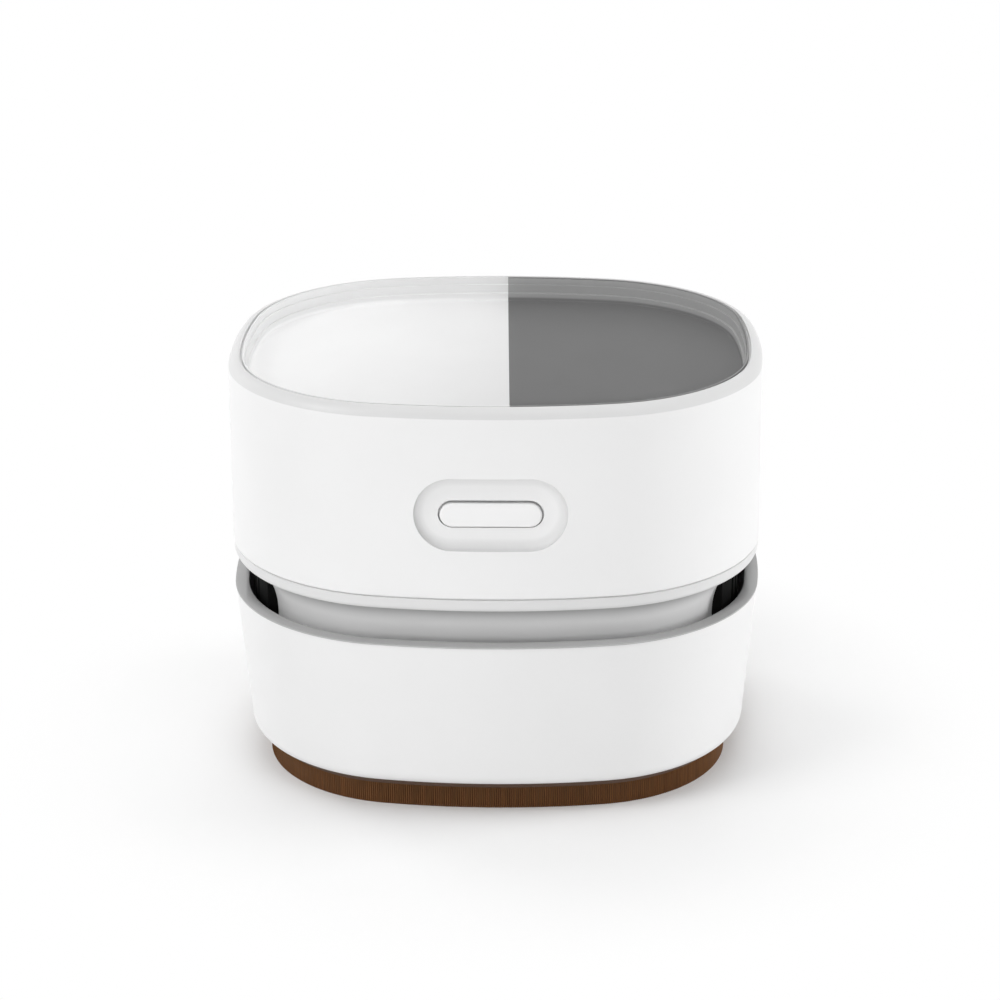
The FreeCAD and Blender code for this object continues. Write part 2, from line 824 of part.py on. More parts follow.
def motor_terminals():
    """Two upright solder tabs on the end cap."""
    base = motor_top + motor_cap_wall
    reach = motor_cap_radius - terminal_length
    return Part.makeCompound([
        block(x - terminal_wall / 2, x + terminal_wall / 2, -terminal_length / 2, terminal_length / 2,
              base, base + terminal_height)
        for x in (-reach, reach)
    ])


def motor_damper():
    """The rubber sleeve round the motor."""
    outer = motor_radius + damper_wall
    return tube(outer, motor_radius, motor_bottom + mount_wall, motor_bottom + mount_wall + damper_height)


def motor_mount():
    """The cup that holds the motor on the pan, with two screw ears."""
    inner = motor_radius + damper_wall
    outer = inner + mount_wall
    cup = post(0, 0, outer, pan_top, pan_top + mount_height)
    ears = [post(x, 0, mount_ear_radius, pan_top, motor_bottom) for x in (-mount_ear_x, mount_ear_x)]
    bridge = block(-mount_ear_x, mount_ear_x, -mount_ear_radius, mount_ear_radius, pan_top, motor_bottom)
    body = joined([cup, bridge] + ears)
    body = body.cut(post(0, 0, inner, motor_bottom + mount_wall, pan_top + mount_height))
    body = body.cut(post(0, 0, motor_radius + slip_gap, motor_bottom, motor_bottom + mount_wall))
    body = body.cut(post(0, 0, motor_nose_radius + slip_gap, pan_top, motor_bottom))
    for x in (-mount_ear_x, mount_ear_x):
        body = body.cut(post(x, 0, screw_radius + slip_gap, pan_top, motor_bottom))
    return body


def motor_screws():
    """The two screws in the motor mount's ears, driven down into the pan."""
    face = motor_bottom + screw_head_height
    return Part.makeCompound([
        screw(x, 0, face, -1, motor_nose_length + pan_wall / 2) for x in (-mount_ear_x, mount_ear_x)
    ])


def battery_axis():
    """The battery's axis height."""
    return pan_top + battery_height


def battery_cell():
    """The rechargeable cell, lying along X, with its positive button at +X."""
    axis = Vector(1, 0, 0)
    body_length = battery_length - battery_button_height
    start = Vector(-battery_length / 2, battery_y, battery_axis())
    body = Part.makeCylinder(battery_radius, body_length, start, axis)
    button = Part.makeCylinder(battery_button_radius, battery_length, start, axis)
    return body.fuse(button)


def battery_saddles():
    """Two snap saddles on the pan that wrap the cell past its middle."""
    inner = battery_radius + slip_gap
    outer = inner + saddle_margin
    top = battery_axis() + battery_radius / 2
    saddles = []
    for x in (-saddle_x - saddle_wall / 2, saddle_x - saddle_wall / 2):
        body = block(x, x + saddle_wall, battery_y - outer, battery_y + outer, pan_top, top)
        corner = Vector(x, battery_y, battery_axis())
        saddles.append(body.cut(Part.makeCylinder(inner, saddle_wall, corner, Vector(1, 0, 0))))
    return Part.makeCompound(saddles)


def charge_board():
    """The charging circuit board on its stand-offs."""
    bottom = pan_top + stand_off
    reach = charge_board_length / 2
    rear = charge_board_rear()
    return block(-reach, reach, rear - charge_board_depth, rear, bottom, bottom + board_wall)


def socket_level():
    """The charging socket's centre height."""
    return pan_top + stand_off + board_wall + socket_height / 2


def socket_mouth():
    """The Y of the charging socket's mouth, flush with the floor of the plug recess."""
    return half_depth - shell_inset(socket_level()) - plug_recess_depth


def usb_socket():
    """The charging socket: a rounded metal shell with a tongue inside."""
    start = socket_mouth() - socket_depth
    shell = to_rear(pill(socket_length, socket_height, 0, socket_depth), start, socket_level())
    walls = 2 * socket_shell_wall
    inside = pill(socket_length - walls, socket_height - walls, socket_shell_wall, socket_depth)
    reach = socket_tongue_length / 2
    half = socket_tongue_wall / 2
    tongue = block(-reach, reach, -half, half, 0, socket_depth - socket_shell_wall)
    hollow = to_rear(inside, start, socket_level())
    return shell.cut(hollow).fuse(to_rear(tongue, start, socket_level())).removeSplitter()


def charge_light_pipe():
    """The clear rod that carries the charging light out through the shell."""
    start = socket_mouth() - socket_depth / 2
    end = half_depth - shell_inset(socket_level()) - light_pipe_sag()
    rod = to_rear(post(light_pipe_x, 0, light_pipe_radius, 0, end - start), start, socket_level())
    lens_foot = pan_top + stand_off + board_wall
    stem = block(
        light_pipe_x - light_pipe_radius / 2, light_pipe_x + light_pipe_radius / 2,
        start, start + light_pipe_radius, lens_foot, socket_level(),
    )
    return rod.fuse(stem).removeSplitter()


def light_pipe_sag():
    """How far the outline falls back from its middle at the light pipe."""
    return front_arc_radius - math.sqrt(front_arc_radius ** 2 - light_pipe_x ** 2)


# ================================================================ shell, tray and lens
def upper_shell():
    """The white housing: drafted wall, rounded rim, tray ledge, bosses, button dish and charging port."""
    ledge_bottom = tray_bottom - tray_ledge_wall
    rim_foot = body_top - rim_drop
    wall = ring([
        (0, part_line),
        (shell_draft, rim_foot),
        (rim_width, body_top, rim_bulge),
        (rim_width, tray_bottom),
        (rim_width + tray_ledge_width, tray_bottom),
        (rim_width + tray_ledge_width, ledge_bottom),
        (shell_inset(ledge_bottom) + shell_wall, ledge_bottom),
        (shell_wall, part_line),
    ])
    bosses = []
    for x, y in boss_places():
        bosses.append(post(x, y, boss_radius, pan_top, ledge_bottom + tray_ledge_wall / 2))
        angle = math.degrees(math.atan2(y, x))
        half = boss_rib_wall / 2
        rib = block(0, half_width, -half, half, pan_top + tongue_height, ledge_bottom)
        rib.rotate(ORIGIN, UP, angle)
        rib.translate(Vector(x, y, 0))
        bosses.append(rib.common(plate(shell_draft + shell_wall / 2, part_line, ledge_bottom)))
    pad = to_front(
        pill(dish_length + 2 * pad_margin, dish_width + 2 * pad_margin, 0, half_depth), 0, dish_height
    )
    band = block(-half_width, half_width, -half_depth, button_seat(), part_line, body_top)
    pad = pad.common(band).common(plate(shell_draft + shell_wall / 2, part_line, ledge_bottom))
    body = joined([wall, pad] + bosses)
    for x, y in boss_places():
        body = body.cut(post(x, y, screw_radius, pan_top, pan_top + screw_length))
    body = body.cut(button_dish())
    body = body.cut(to_front(
        pill(button_length + 2 * button_gap, button_width + 2 * button_gap, 0, half_depth), 0, button_height
    ))
    return body.cut(charging_port())


def dish_floor():
    """The Y of the button dish's flat floor."""
    return -half_depth + shell_inset(dish_height) + dish_depth


def button_seat():
    """The Y of the pad's inner face, where the button's flange rests."""
    return dish_floor() + pad_wall


def button_dish():
    """The cutter for the rounded dish round the power button."""
    cutter = pill(dish_length, dish_width, 0, half_depth)
    cutter = cutter.makeFillet(dish_round, end_edges(cutter, 0))
    return to_front(cutter, dish_floor(), dish_height)


def charging_port():
    """The cutter for the plug recess, the socket's slot and the light pipe's hole in the rear wall."""
    outside = half_depth
    recess = to_rear(
        pill(plug_recess_length, plug_recess_height, 0, outside), socket_mouth(), socket_level()
    )
    slot = pill(socket_length + 2 * slip_gap, socket_height + 2 * slip_gap, 0, outside)
    hole = post(light_pipe_x, 0, light_pipe_radius + slip_gap, 0, outside)
    inside = half_depth - socket_depth
    return recess.fuse(to_rear(slot, inside, socket_level())).fuse(to_rear(hole, inside, socket_level()))


def tray():
    """The dished tray under the lens, before it is parted at the colour seam."""
    outer = rim_width + slip_gap
    pocket = outer + tray_wall
    wall = pocket + lens_seat
    step_level = body_top - tray_step_depth
    dish = ring([
        (outer, tray_bottom),
        (outer, lens_top),
        (pocket, lens_top),
        (pocket, lens_bottom),
        (wall, lens_bottom),
        (wall, step_level),
        (wall + tray_step, step_level),
        (wall + tray_step, tray_floor),
        (wall + tray_step + tray_ledge_width, tray_floor),
        (wall + tray_step + tray_ledge_width, tray_bottom),
    ])
    return joined([dish, plate(wall + tray_step + tray_ledge_width, tray_bottom, tray_floor)])


def tray_side(first, last):
    """The space beside the tray's seam, between two distances from it."""
    side = block(first, last, -body_depth, body_depth, tray_bottom, body_top)
    side.rotate(ORIGIN, UP, tray_seam_turn)
    side.translate(Vector(tray_seam_x, 0, 0))
    return side


def tray_light():
    """The pale part of the tray, left of the seam."""
    return tray().common(tray_side(-body_width, 0))


def tray_grey():
    """The grey part of the tray, right of the seam."""
    return tray().common(tray_side(0, body_width))


def top_lens():
    """The clear cover let into the rim."""
    lens = plate(rim_width + 2 * slip_gap + tray_wall, lens_bottom, lens_top)
    return lens


def housing_screws():
    """The four screws that hold the pan to the shell's bosses, with their heads in the waist."""
    face = lip_bottom - screw_head_height
    return Part.makeCompound([screw(x, y, face, 1, screw_length - slip_gap) for x, y in boss_places()])


# ================================================================ button and switch
def power_button():
    """The pill-shaped power button with the flange that keeps it in the wall and a stem for the switch."""
    face = -half_depth + shell_inset(dish_height) + button_sink
    back = button_seat()
    cap = pill(button_length, button_width, 0, back - face)
    cap = cap.makeChamfer(button_bevel, end_edges(cap, back - face))
    flange = pill(
        button_length + 2 * button_gap + 2 * button_flange, button_width + 2 * button_gap + 2 * button_flange,
        -button_flange_wall, 0,
    )
    return to_front(cap.fuse(flange), back, button_height).removeSplitter()


def switch_plunger():
    """The tact switch's plunger, which travels with the button."""
    back = button_seat() + button_flange_wall
    return to_front(post(0, 0, plunger_radius, -plunger_length, 0), back, button_height)


def tact_switch():
    """The tact switch's square case on the control board."""
    outer = board_span()[0]
    half = switch_size / 2
    case = block(-half, half, outer - switch_depth, outer, button_height - half, button_height + half)
    well = post(0, 0, plunger_radius + slip_gap, -button_travel - slip_gap, 0)
    return case.cut(to_front(well, outer - switch_depth, button_height))


def control_board():
    """The upright circuit board behind the button, standing in the pan's rails."""
    outer, inner = board_span()
    reach = board_length / 2 - slip_gap
    return block(-reach, reach, outer + slip_gap / 2, inner - slip_gap / 2, pan_top, pan_top + board_height)


# ================================================================ output
parts = {
    "skirt_shell": skirt_shell,
    "cup_liner": cup_liner,
    "intake_duct": intake_duct,
    "sole_plate": sole_plate,
    "brush_carrier": brush_carrier,
    "bristle_ring": bristle_ring,
    "glide_feet": glide_feet,
    "sole_screws": sole_screws,
    "filter_frame": filter_frame,
    "filter_media": filter_media,
    "cup_seal": cup_seal,
    "waist_cover_front": lambda: waist_cover(270),
    "waist_cover_rear": lambda: waist_cover(90),
    "exhaust_grille_left": lambda: exhaust_grille(-1),
    "exhaust_grille_right": lambda: exhaust_grille(1),
    "fan_housing": fan_housing,
    "fan_screws": fan_screws,
    "impeller": impeller,
    "motor_shaft": motor_shaft,
    "belly_pan": belly_pan,
    "motor_can": motor_can,
    "motor_end_cap": motor_end_cap,
    "motor_terminals": motor_terminals,
    "motor_damper": motor_damper,
    "motor_mount": motor_mount,
    "motor_screws": motor_screws,
    "battery_cell": battery_cell,
    "battery_saddles": battery_saddles,
    "charge_board": charge_board,
    "usb_socket": usb_socket,
    "charge_light_pipe": charge_light_pipe,
    "upper_shell": upper_shell,
    "tray_light": tray_light,
    "tray_grey": tray_grey,
    "top_lens": top_lens,
    "housing_screws": housing_screws,
    "power_button": power_button,
    "switch_plunger": switch_plunger,
    "tact_switch": tact_switch,
    "control_board": control_board,
}

os.makedirs("parts", exist_ok=True)
for node, make in parts.items():
    make().exportStep("parts/" + node + ".step")
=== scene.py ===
"""Looks of the desktop mini vacuum cleaner: an oval motor head standing in an oval dust cup.

Metres, in the frame's own axes: +Z up, the power button faces -Y. A place on a wall is given as an inset,
measured inwards from the widest line of the housing, and a height above the desk.
"""

import json
import logging
import math
from dataclasses import dataclass
from enum import Enum
from typing import Callable, Optional, Sequence

import bmesh
import bpy
from mathutils import Matrix, Vector

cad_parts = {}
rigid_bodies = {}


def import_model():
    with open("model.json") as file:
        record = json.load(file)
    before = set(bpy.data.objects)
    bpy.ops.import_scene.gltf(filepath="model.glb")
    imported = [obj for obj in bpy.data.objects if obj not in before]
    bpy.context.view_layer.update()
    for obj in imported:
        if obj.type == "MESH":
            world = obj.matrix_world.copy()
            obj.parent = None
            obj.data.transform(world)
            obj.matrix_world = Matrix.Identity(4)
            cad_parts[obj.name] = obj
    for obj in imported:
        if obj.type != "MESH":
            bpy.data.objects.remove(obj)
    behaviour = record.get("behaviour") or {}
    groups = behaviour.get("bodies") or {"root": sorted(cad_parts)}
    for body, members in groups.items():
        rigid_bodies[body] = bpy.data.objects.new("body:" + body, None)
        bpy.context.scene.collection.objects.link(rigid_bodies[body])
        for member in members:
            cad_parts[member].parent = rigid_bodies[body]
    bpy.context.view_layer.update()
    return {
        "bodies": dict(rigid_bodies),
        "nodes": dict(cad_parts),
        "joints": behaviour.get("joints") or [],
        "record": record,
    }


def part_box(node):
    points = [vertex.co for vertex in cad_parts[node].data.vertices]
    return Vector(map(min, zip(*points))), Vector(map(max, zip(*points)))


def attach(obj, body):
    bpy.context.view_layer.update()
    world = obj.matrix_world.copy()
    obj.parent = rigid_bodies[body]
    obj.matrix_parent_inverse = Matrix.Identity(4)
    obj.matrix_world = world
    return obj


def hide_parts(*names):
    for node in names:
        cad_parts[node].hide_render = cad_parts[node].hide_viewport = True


MM = 0.001
WELD = 0.004 * MM
SMOOTH_ANGLE = math.radians(32)
FLAT_ANGLE = math.radians(0.4)
ANGLE_SLACK = 1e-9
LEAST_TURN = 1e-6
Z_AXIS = (0, 0, 1)

WHITE = (1, 1, 1, 1)
BLACK = (0, 0, 0, 1)
CLOUD_SPAN = (0.35, 0.65)
STREAK_SPAN = (0.3, 0.7)
CLOUD_DETAIL = 2.0
GRAIN_DETAIL = 3.0

log = logging.getLogger("mini_vacuum")


# ================================================================ modelling bench
@dataclass(frozen=True)
class Knot:
    """A corner of a wall's profile.

    Args:
        inset: distance inwards from the housing's widest line.
        z: height above the desk.
        radius: rounding of this corner.
    """

    inset: float
    z: float
    radius: float = 0.0


@dataclass(frozen=True)
class Arc:
    """One arc of the plan outline, with its first and last angle in radians."""

    x: float
    y: float
    radius: float
    first: float
    last: float


@dataclass(frozen=True)
class Oval:
    """The plan outline of the cleaner: eight tangent arcs, mirrored in X and Y.

    Args:
        half_width: half the outline's length along X.
        half_depth: half the outline's length along Y.
        front_radius: radius of the front and rear arcs.
        side_radius: radius of the left and right arcs.
        corner_radius: radius of the corner arcs.
    """

    half_width: float
    half_depth: float
    front_radius: float = 115 * MM
    side_radius: float = 108 * MM
    corner_radius: float = 30.4 * MM

    def corner(self) -> tuple[float, float]:
        """Finds the centre of the corner arc in the first quadrant.

        Returns:
            Its x and y.
        """
        side_x = self.half_width - self.side_radius
        front_y = self.half_depth - self.front_radius
        from_side = self.side_radius - self.corner_radius
        from_front = self.front_radius - self.corner_radius
        apart = math.hypot(side_x, front_y)
        along = (from_side**2 - from_front**2 + apart**2) / (2 * apart)
        across = math.sqrt(from_side**2 - along**2)
        step_x, step_y = -side_x / apart, front_y / apart
        return side_x + along * step_x - across * step_y, along * step_y + across * step_x

    def arcs(self) -> list[Arc]:
        """Lists the eight arcs.

        Returns:
            The arcs, anticlockwise from the right-hand side.
        """
        cx, cy = self.corner()
        side_x = self.half_width - self.side_radius
        front_y = self.half_depth - self.front_radius
        side = math.atan2(cy, cx - side_x)
        front = math.atan2(cy - front_y, cx)
        half = math.pi
        return [
            Arc(side_x, 0, self.side_radius, -side, side),
            Arc(cx, cy, self.corner_radius, side, front),
            Arc(0, front_y, self.front_radius, front, half - front),
            Arc(-cx, cy, self.corner_radius, half - front, half - side),
            Arc(-side_x, 0, self.side_radius, half - side, half + side),
            Arc(-cx, -cy, self.corner_radius, half + side, half + front),
            Arc(0, -front_y, self.front_radius, half + front, 2 * half - front),
            Arc(cx, -cy, self.corner_radius, 2 * half - front, 2 * half - side),
        ]

    def point(self, inset: float, angle: float) -> tuple[float, float]:
        """The point of an inset outline whose outward normal has this angle.

        Args:
            inset: distance inwards from the outline.
            angle: angle of the outward normal in radians.

        Returns:
            The point's x and y.
        """
        for arc in self.arcs():
            for turned in (angle, angle + 2 * math.pi, angle - 2 * math.pi):
                if arc.first - ANGLE_SLACK <= turned <= arc.last + ANGLE_SLACK:
                    reach = arc.radius - inset
                    return arc.x + reach * math.cos(turned), arc.y + reach * math.sin(turned)
        raise ValueError("no arc of the outline has this normal")


def rounded(knots: list[Knot], steps: int = 6) -> list[tuple[float, float]]:
    """Rounds the corners of a closed profile.

    Args:
        knots: the profile's corners in order.
        steps: edges in each rounding.

    Returns:
        The profile's points as (inset, z).
    """
    points: list[tuple[float, float]] = []
    for i, knot in enumerate(knots):
        here = Vector((knot.inset, knot.z))
        if knot.radius <= 0:
            points.append(tuple(here))
            continue
        before = knots[i - 1]
        after = knots[(i + 1) % len(knots)]
        back = (Vector((before.inset, before.z)) - here).normalized()
        ahead = (Vector((after.inset, after.z)) - here).normalized()
        half = back.angle(ahead) / 2
        centre = here + (back + ahead).normalized() * knot.radius / math.sin(half)
        first = here + back * knot.radius / math.tan(half) - centre
        last = here + ahead * knot.radius / math.tan(half) - centre
        turn = first.angle_signed(last)
        for step in range(steps + 1):
            spoke = first.copy()
            spoke.rotate(Matrix.Rotation(-turn * step / steps, 2))
            points.append(tuple(centre + spoke))
    return points


class Bench:
    """One mesh being modelled in edit mode, from a primitive to a finished piece."""

    def __init__(self, name: str, at: tuple[float, float, float]) -> None:
        """Adds a small plane at a place and merges it to one point.

        Args:
            name: the piece's name.
            at: where the first point lies.
        """
        bpy.ops.object.select_all(action="DESELECT")
        bpy.ops.mesh.primitive_plane_add(size=MM, location=at)
        self.obj = bpy.context.active_object
        self.obj.name = name
        self.obj.data.name = name
        self.at = Vector(at)
        bpy.ops.object.mode_set(mode="EDIT")
        bpy.ops.mesh.select_mode(type="VERT")
        bpy.ops.mesh.select_all(action="SELECT")
        bpy.ops.mesh.merge(type="CENTER")

    @classmethod
    def of(cls, obj: bpy.types.Object) -> "Bench":
        """Takes up a finished piece again.

        Args:
            obj: the piece.

        Returns:
            A bench with the piece on it.
        """
        bench = cls.__new__(cls)
        only(obj)
        bench.obj, bench.at = obj, Vector()
        bpy.ops.object.mode_set(mode="EDIT")
        return bench

    def draw(self, to: tuple[float, float, float]) -> "Bench":
        """Extrudes what is selected to a place, counted from the last point drawn.

        Args:
            to: where the last point goes.

        Returns:
            The bench itself.
        """
        step = Vector(to) - self.at
        bpy.ops.mesh.extrude_region_move(TRANSFORM_OT_translate={"value": tuple(step)})
        self.at = Vector(to)
        return self

    def turn(self, centre: tuple[float, float, float], axis: tuple[float, float, float], angle: float,
             steps: int) -> "Bench":
        """Spins what is selected round an axis.

        Args:
            centre: a point on the axis.
            axis: the axis's direction.
            angle: right-handed turn in radians.
            steps: number of segments.

        Returns:
            The bench itself.
        """
        bpy.ops.mesh.spin(steps=steps, angle=-angle, center=centre, axis=axis)
        arm = self.at - Vector(centre)
        arm.rotate(Matrix.Rotation(angle, 3, Vector(axis)))
        self.at = Vector(centre) + arm
        return self

    def pick(self, test: Callable[[Vector], bool], kind: str = "VERT") -> "Bench":
        """Selects the vertices, edges or faces whose every corner passes a test.

        Args:
            test: takes a corner's place in the frame.
            kind: VERT, EDGE or FACE.

        Returns:
            The bench itself.
        """
        bpy.ops.mesh.select_mode(type=kind)
        bpy.ops.mesh.select_all(action="DESELECT")
        mesh = bmesh.from_edit_mesh(self.obj.data)
        place = self.obj.matrix_world
        if kind == "VERT":
            for vert in mesh.verts:
                vert.select_set(test(place @ vert.co))
        else:
            for item in mesh.edges if kind == "EDGE" else mesh.faces:
                item.select_set(all(test(place @ vert.co) for vert in item.verts))
        mesh.select_flush_mode()
        bmesh.update_edit_mesh(self.obj.data)
        return self

    def everything(self) -> "Bench":
        """Selects the whole mesh.

        Returns:
            The bench itself.
        """
        bpy.ops.mesh.select_mode(type="VERT")
        bpy.ops.mesh.select_all(action="SELECT")
        return self

    def weld(self) -> "Bench":
        """Merges doubles and turns every face outwards.

        Returns:
            The bench itself.
        """
        self.everything()
        bpy.ops.mesh.remove_doubles(threshold=WELD)
        bpy.ops.mesh.normals_make_consistent(inside=False)
        return self

    def fill(self) -> "Bench":
        """Fills the selected loop with a face."""
        bpy.ops.mesh.edge_face_add()
        return self

    def bevel(self, width: float, segments: int = 4) -> "Bench":
        """Rounds the selected edges."""
        bpy.ops.mesh.bevel(offset=width, segments=segments, affect="EDGES", clamp_overlap=True)
        return self

    def bisect(self, at: tuple[float, float, float], normal: tuple[float, float, float],
               drop: str) -> "Bench":
        """Cuts the mesh by a plane, closes the cut and drops one side.

        Args:
            at: a point of the plane.
            normal: the plane's normal.
            drop: "outer" drops the side that the normal points to, "inner" the other.

        Returns:
            The bench itself.
        """
        self.everything()
        bpy.ops.mesh.bisect(plane_co=at, plane_no=normal, use_fill=True, clear_inner=drop == "inner",
                            clear_outer=drop == "outer")
        return self

    def done(self) -> bpy.types.Object:
        """Leaves edit mode and applies the object's place.

        Returns:
            The finished object, at the origin.
        """
        bpy.ops.object.mode_set(mode="OBJECT")
        settle(self.obj)
        return self.obj


def settle(obj: bpy.types.Object) -> None:
    """Applies an object's transforms and shades it smooth where its faces meet gently.

    Args:
        obj: the object.
    """
    only(obj)
    bpy.ops.object.transform_apply(location=True, rotation=True, scale=True)
    bpy.ops.object.shade_smooth_by_angle(angle=SMOOTH_ANGLE)


def only(obj: bpy.types.Object) -> None:
    """Selects one object and makes it active.

    Args:
        obj: the object.
    """
    bpy.ops.object.select_all(action="DESELECT")
    obj.select_set(True)
    bpy.context.view_layer.objects.active = obj


def carve(obj: bpy.types.Object, cutter: bpy.types.Object) -> None:
    """Cuts one mesh out of another and removes the cutter.

    Args:
        obj: the piece that is cut.
        cutter: the shape taken out of it.
    """
    only(obj)
    cut = obj.modifiers.new("cut", "BOOLEAN")
    cut.object = cutter
    cut.operation = "DIFFERENCE"
    cut.solver = "EXACT"
    bpy.ops.object.modifier_apply(modifier=cut.name)
    bpy.data.objects.remove(cutter, do_unlink=True)
    bpy.ops.object.shade_smooth_by_angle(angle=SMOOTH_ANGLE)


def soften(obj: bpy.types.Object, width: float, segments: int = 2) -> None:
    """Rounds the sharp edges of a piece with an applied bevel.

    Args:
        obj: the piece.
        width: the rounding's width.
        segments: its segments.
    """
    only(obj)
    edge = obj.modifiers.new("edge", "BEVEL")
    edge.width = width
    edge.segments = segments
    edge.limit_method = "ANGLE"
    edge.angle_limit = SMOOTH_ANGLE
    edge.use_clamp_overlap = True
    edge.harden_normals = False
    bpy.ops.object.modifier_apply(modifier=edge.name)
    bpy.ops.object.shade_smooth_by_angle(angle=SMOOTH_ANGLE)


@dataclass(frozen=True)
class Lathe:
    """Carries profiles round the oval.

    Args:
        oval: the plan outline.
        pitch: length of one segment on the outline.
    """

    oval: Oval
    pitch: float = 1.1 * MM

    def sweep(self, name: str, profile: list[tuple[float, float]], closed: bool = True,
              first: Optional[float] = None, last: Optional[float] = None) -> Bench:
        """Sweeps a profile round the outline, or along a stretch of it.

        Args:
            name: the piece's name.
            profile: the points as (inset, z).
            closed: whether the profile's last point joins its first.
            first: angle of the outward normal where a stretch begins.
            last: angle of the outward normal where it ends.

        Returns:
            The bench, still in edit mode, with its doubles merged.
        """
        arcs = self.oval.arcs()
        whole = first is None or last is None
        begin = arcs[0].first if first is None else first
        end = arcs[-1].last if last is None else last
        across, along = math.cos(begin), math.sin(begin)
        x, y = self.oval.point(0, begin)
        points = [(x - across * inset, y - along * inset, z) for inset, z in profile]
        bench = Bench(name, points[0])
        for point in points[1:] + points[:1] * closed:
            bench.draw(point)
        bench.everything()
        for shift in (-2 * math.pi, 0.0):
            for arc in arcs:
                low, high = max(arc.first + shift, begin), min(arc.last + shift, end)
                if high - low > LEAST_TURN:
                    steps = max(2, math.ceil((high - low) * arc.radius / self.pitch))
                    bench.turn((arc.x, arc.y, 0), Z_AXIS, high - low, steps)
        bench.weld()
        if not whole and closed:
            for angle in (begin, end):
                normal = Vector((-math.sin(angle), math.cos(angle), 0))
                seat = Vector((*self.oval.point(0, angle), 0))
                bench.pick(lambda p: abs((p - seat).dot(normal)) < WELD)
                bench.fill()
            bench.weld()
        return bench

    def slab(self, name: str, profile: list[tuple[float, float]]) -> Bench:
        """Sweeps an open profile and closes it with a flat face at both ends.

        Args:
            name: the piece's name.
            profile: the points as (inset, z); the first and last lie on the flats.

        Returns:
            The bench, still in edit mode.
        """
        bench = self.sweep(name, profile, closed=False)
        for inset, z in (profile[0], profile[-1]):
            bench.pick(lambda p: abs(p.z - z) < WELD and self.inset_of(p) > inset - 10 * WELD)
            bench.fill()
        return bench.weld()

    def inset_of(self, place: Vector) -> float:
        """The inset of a place in plan.

        Args:
            place: the place.

        Returns:
            Its distance inwards from the outline.
        """
        side, corner, front = self.oval.arcs()[:3]
        x, y = abs(place.x), abs(place.y)
        if math.atan2(y, x - side.x) <= side.last:
            return side.radius - math.hypot(x - side.x, y)
        if math.atan2(y - front.y, x) >= front.first:
            return front.radius - math.hypot(x, y - front.y)
        return corner.radius - math.hypot(x - corner.x, y - corner.y)


def pill(name: str, length: float, width: float, at: Vector, depth: Vector, steps: int = 18) -> Bench:
    """A pill-shaped bar, long along X, with its axis along Y or Z.

    Args:
        name: the piece's name.
        length: end to end along X.
        width: across.
        at: centre of the starting face.
        depth: from the starting face to the far one.
        steps: segments in each half-round end.

    Returns:
        The bench, still in edit mode.
    """
    axis = depth.normalized()
    across = axis.cross(Vector((1, 0, 0)))
    end = Vector((length / 2 - width / 2, 0, 0))
    low = at - across * width / 2
    bench = Bench(name, tuple(low - end))
    if end.x > WELD:
        bench.draw(tuple(low + end))
        bench.pick(lambda p: (p - low - end).length < WELD)
    bench.turn(tuple(at + end), tuple(axis), math.pi, steps)
    if end.x > WELD:
        bench.draw(tuple(bench.at - 2 * end))
    bench.turn(tuple(at - end), tuple(axis), math.pi, steps)
    bench.everything()
    bpy.ops.mesh.remove_doubles(threshold=WELD)
    bench.everything().fill()
    bench.at = at.copy()
    bench.draw(tuple(at + depth))
    return bench.weld()


def refined(node: bpy.types.Object, name: str, width: float) -> bpy.types.Object:
    """Copies a CAD node, joins its triangles into whole faces and rounds its edges.

    Args:
        node: the CAD node.
        name: the new piece's name.
        width: the rounding's width, or 0 for none.

    Returns:
        The new piece.
    """
    only(node)
    bpy.ops.object.duplicate()
    obj = bpy.context.active_object
    obj.name = name
    obj.data.name = name
    bpy.ops.object.mode_set(mode="EDIT")
    bpy.ops.mesh.select_all(action="SELECT")
    bpy.ops.mesh.remove_doubles(threshold=WELD / 4)
    bpy.ops.mesh.dissolve_limited(angle_limit=FLAT_ANGLE)
    bpy.ops.object.mode_set(mode="OBJECT")
    if width > 0:
        soften(obj, width)
    bpy.ops.object.shade_smooth_by_angle(angle=SMOOTH_ANGLE)
    return obj


def bow(start: tuple[float, float], end: tuple[float, float], rise: float, steps: int = 8) -> list[Knot]:
    """The inner points of an arc between two points of a profile.

    Args:
        start: first point as (inset, z).
        end: last point as (inset, z).
        rise: how far the arc's middle stands out to the left of the way from start to end.
        steps: edges of the arc.

    Returns:
        The knots between the two points.
    """
    first, last = Vector(start), Vector(end)
    chord = last - first
    side = Vector((-chord.y, chord.x)).normalized()
    radius = (chord.length**2 / 4 + rise**2) / (2 * rise)
    centre = (first + last) / 2 + side * (rise - radius)
    half = math.asin(chord.length / 2 / radius)
    knots = []
    for step in range(1, steps):
        angle = half * (2 * step / steps - 1)
        spoke = side * radius * math.cos(angle) + chord.normalized() * radius * math.sin(angle)
        knots.append(Knot(*(centre + spoke)))
    return knots


# ================================================================ finishes
def shade(red: float, green: Optional[float] = None, blue: Optional[float] = None) -> tuple:
    """Turns display levels from 0 to 255 into a linear colour.

    Args:
        red: red, or the grey level when it stands alone.
        green: green.
        blue: blue.

    Returns:
        Red, green, blue and alpha in linear light.
    """
    levels = (red, red if green is None else green, red if blue is None else blue)
    linear = [v / 255 / 12.92 if v <= 10.3 else ((v / 255 + 0.055) / 1.055) ** 2.4 for v in levels]
    return (*linear, 1.0)


class Texture(Enum):
    """How coarse a moulded surface is: grains per metre and the depth of the bump."""

    SMOOTH = (900.0, 0.0)
    POLISHED = (2200.0, 0.02)
    SATIN = (5200.0, 0.05)
    MATT = (4200.0, 0.12)
    SOFT = (3000.0, 0.18)


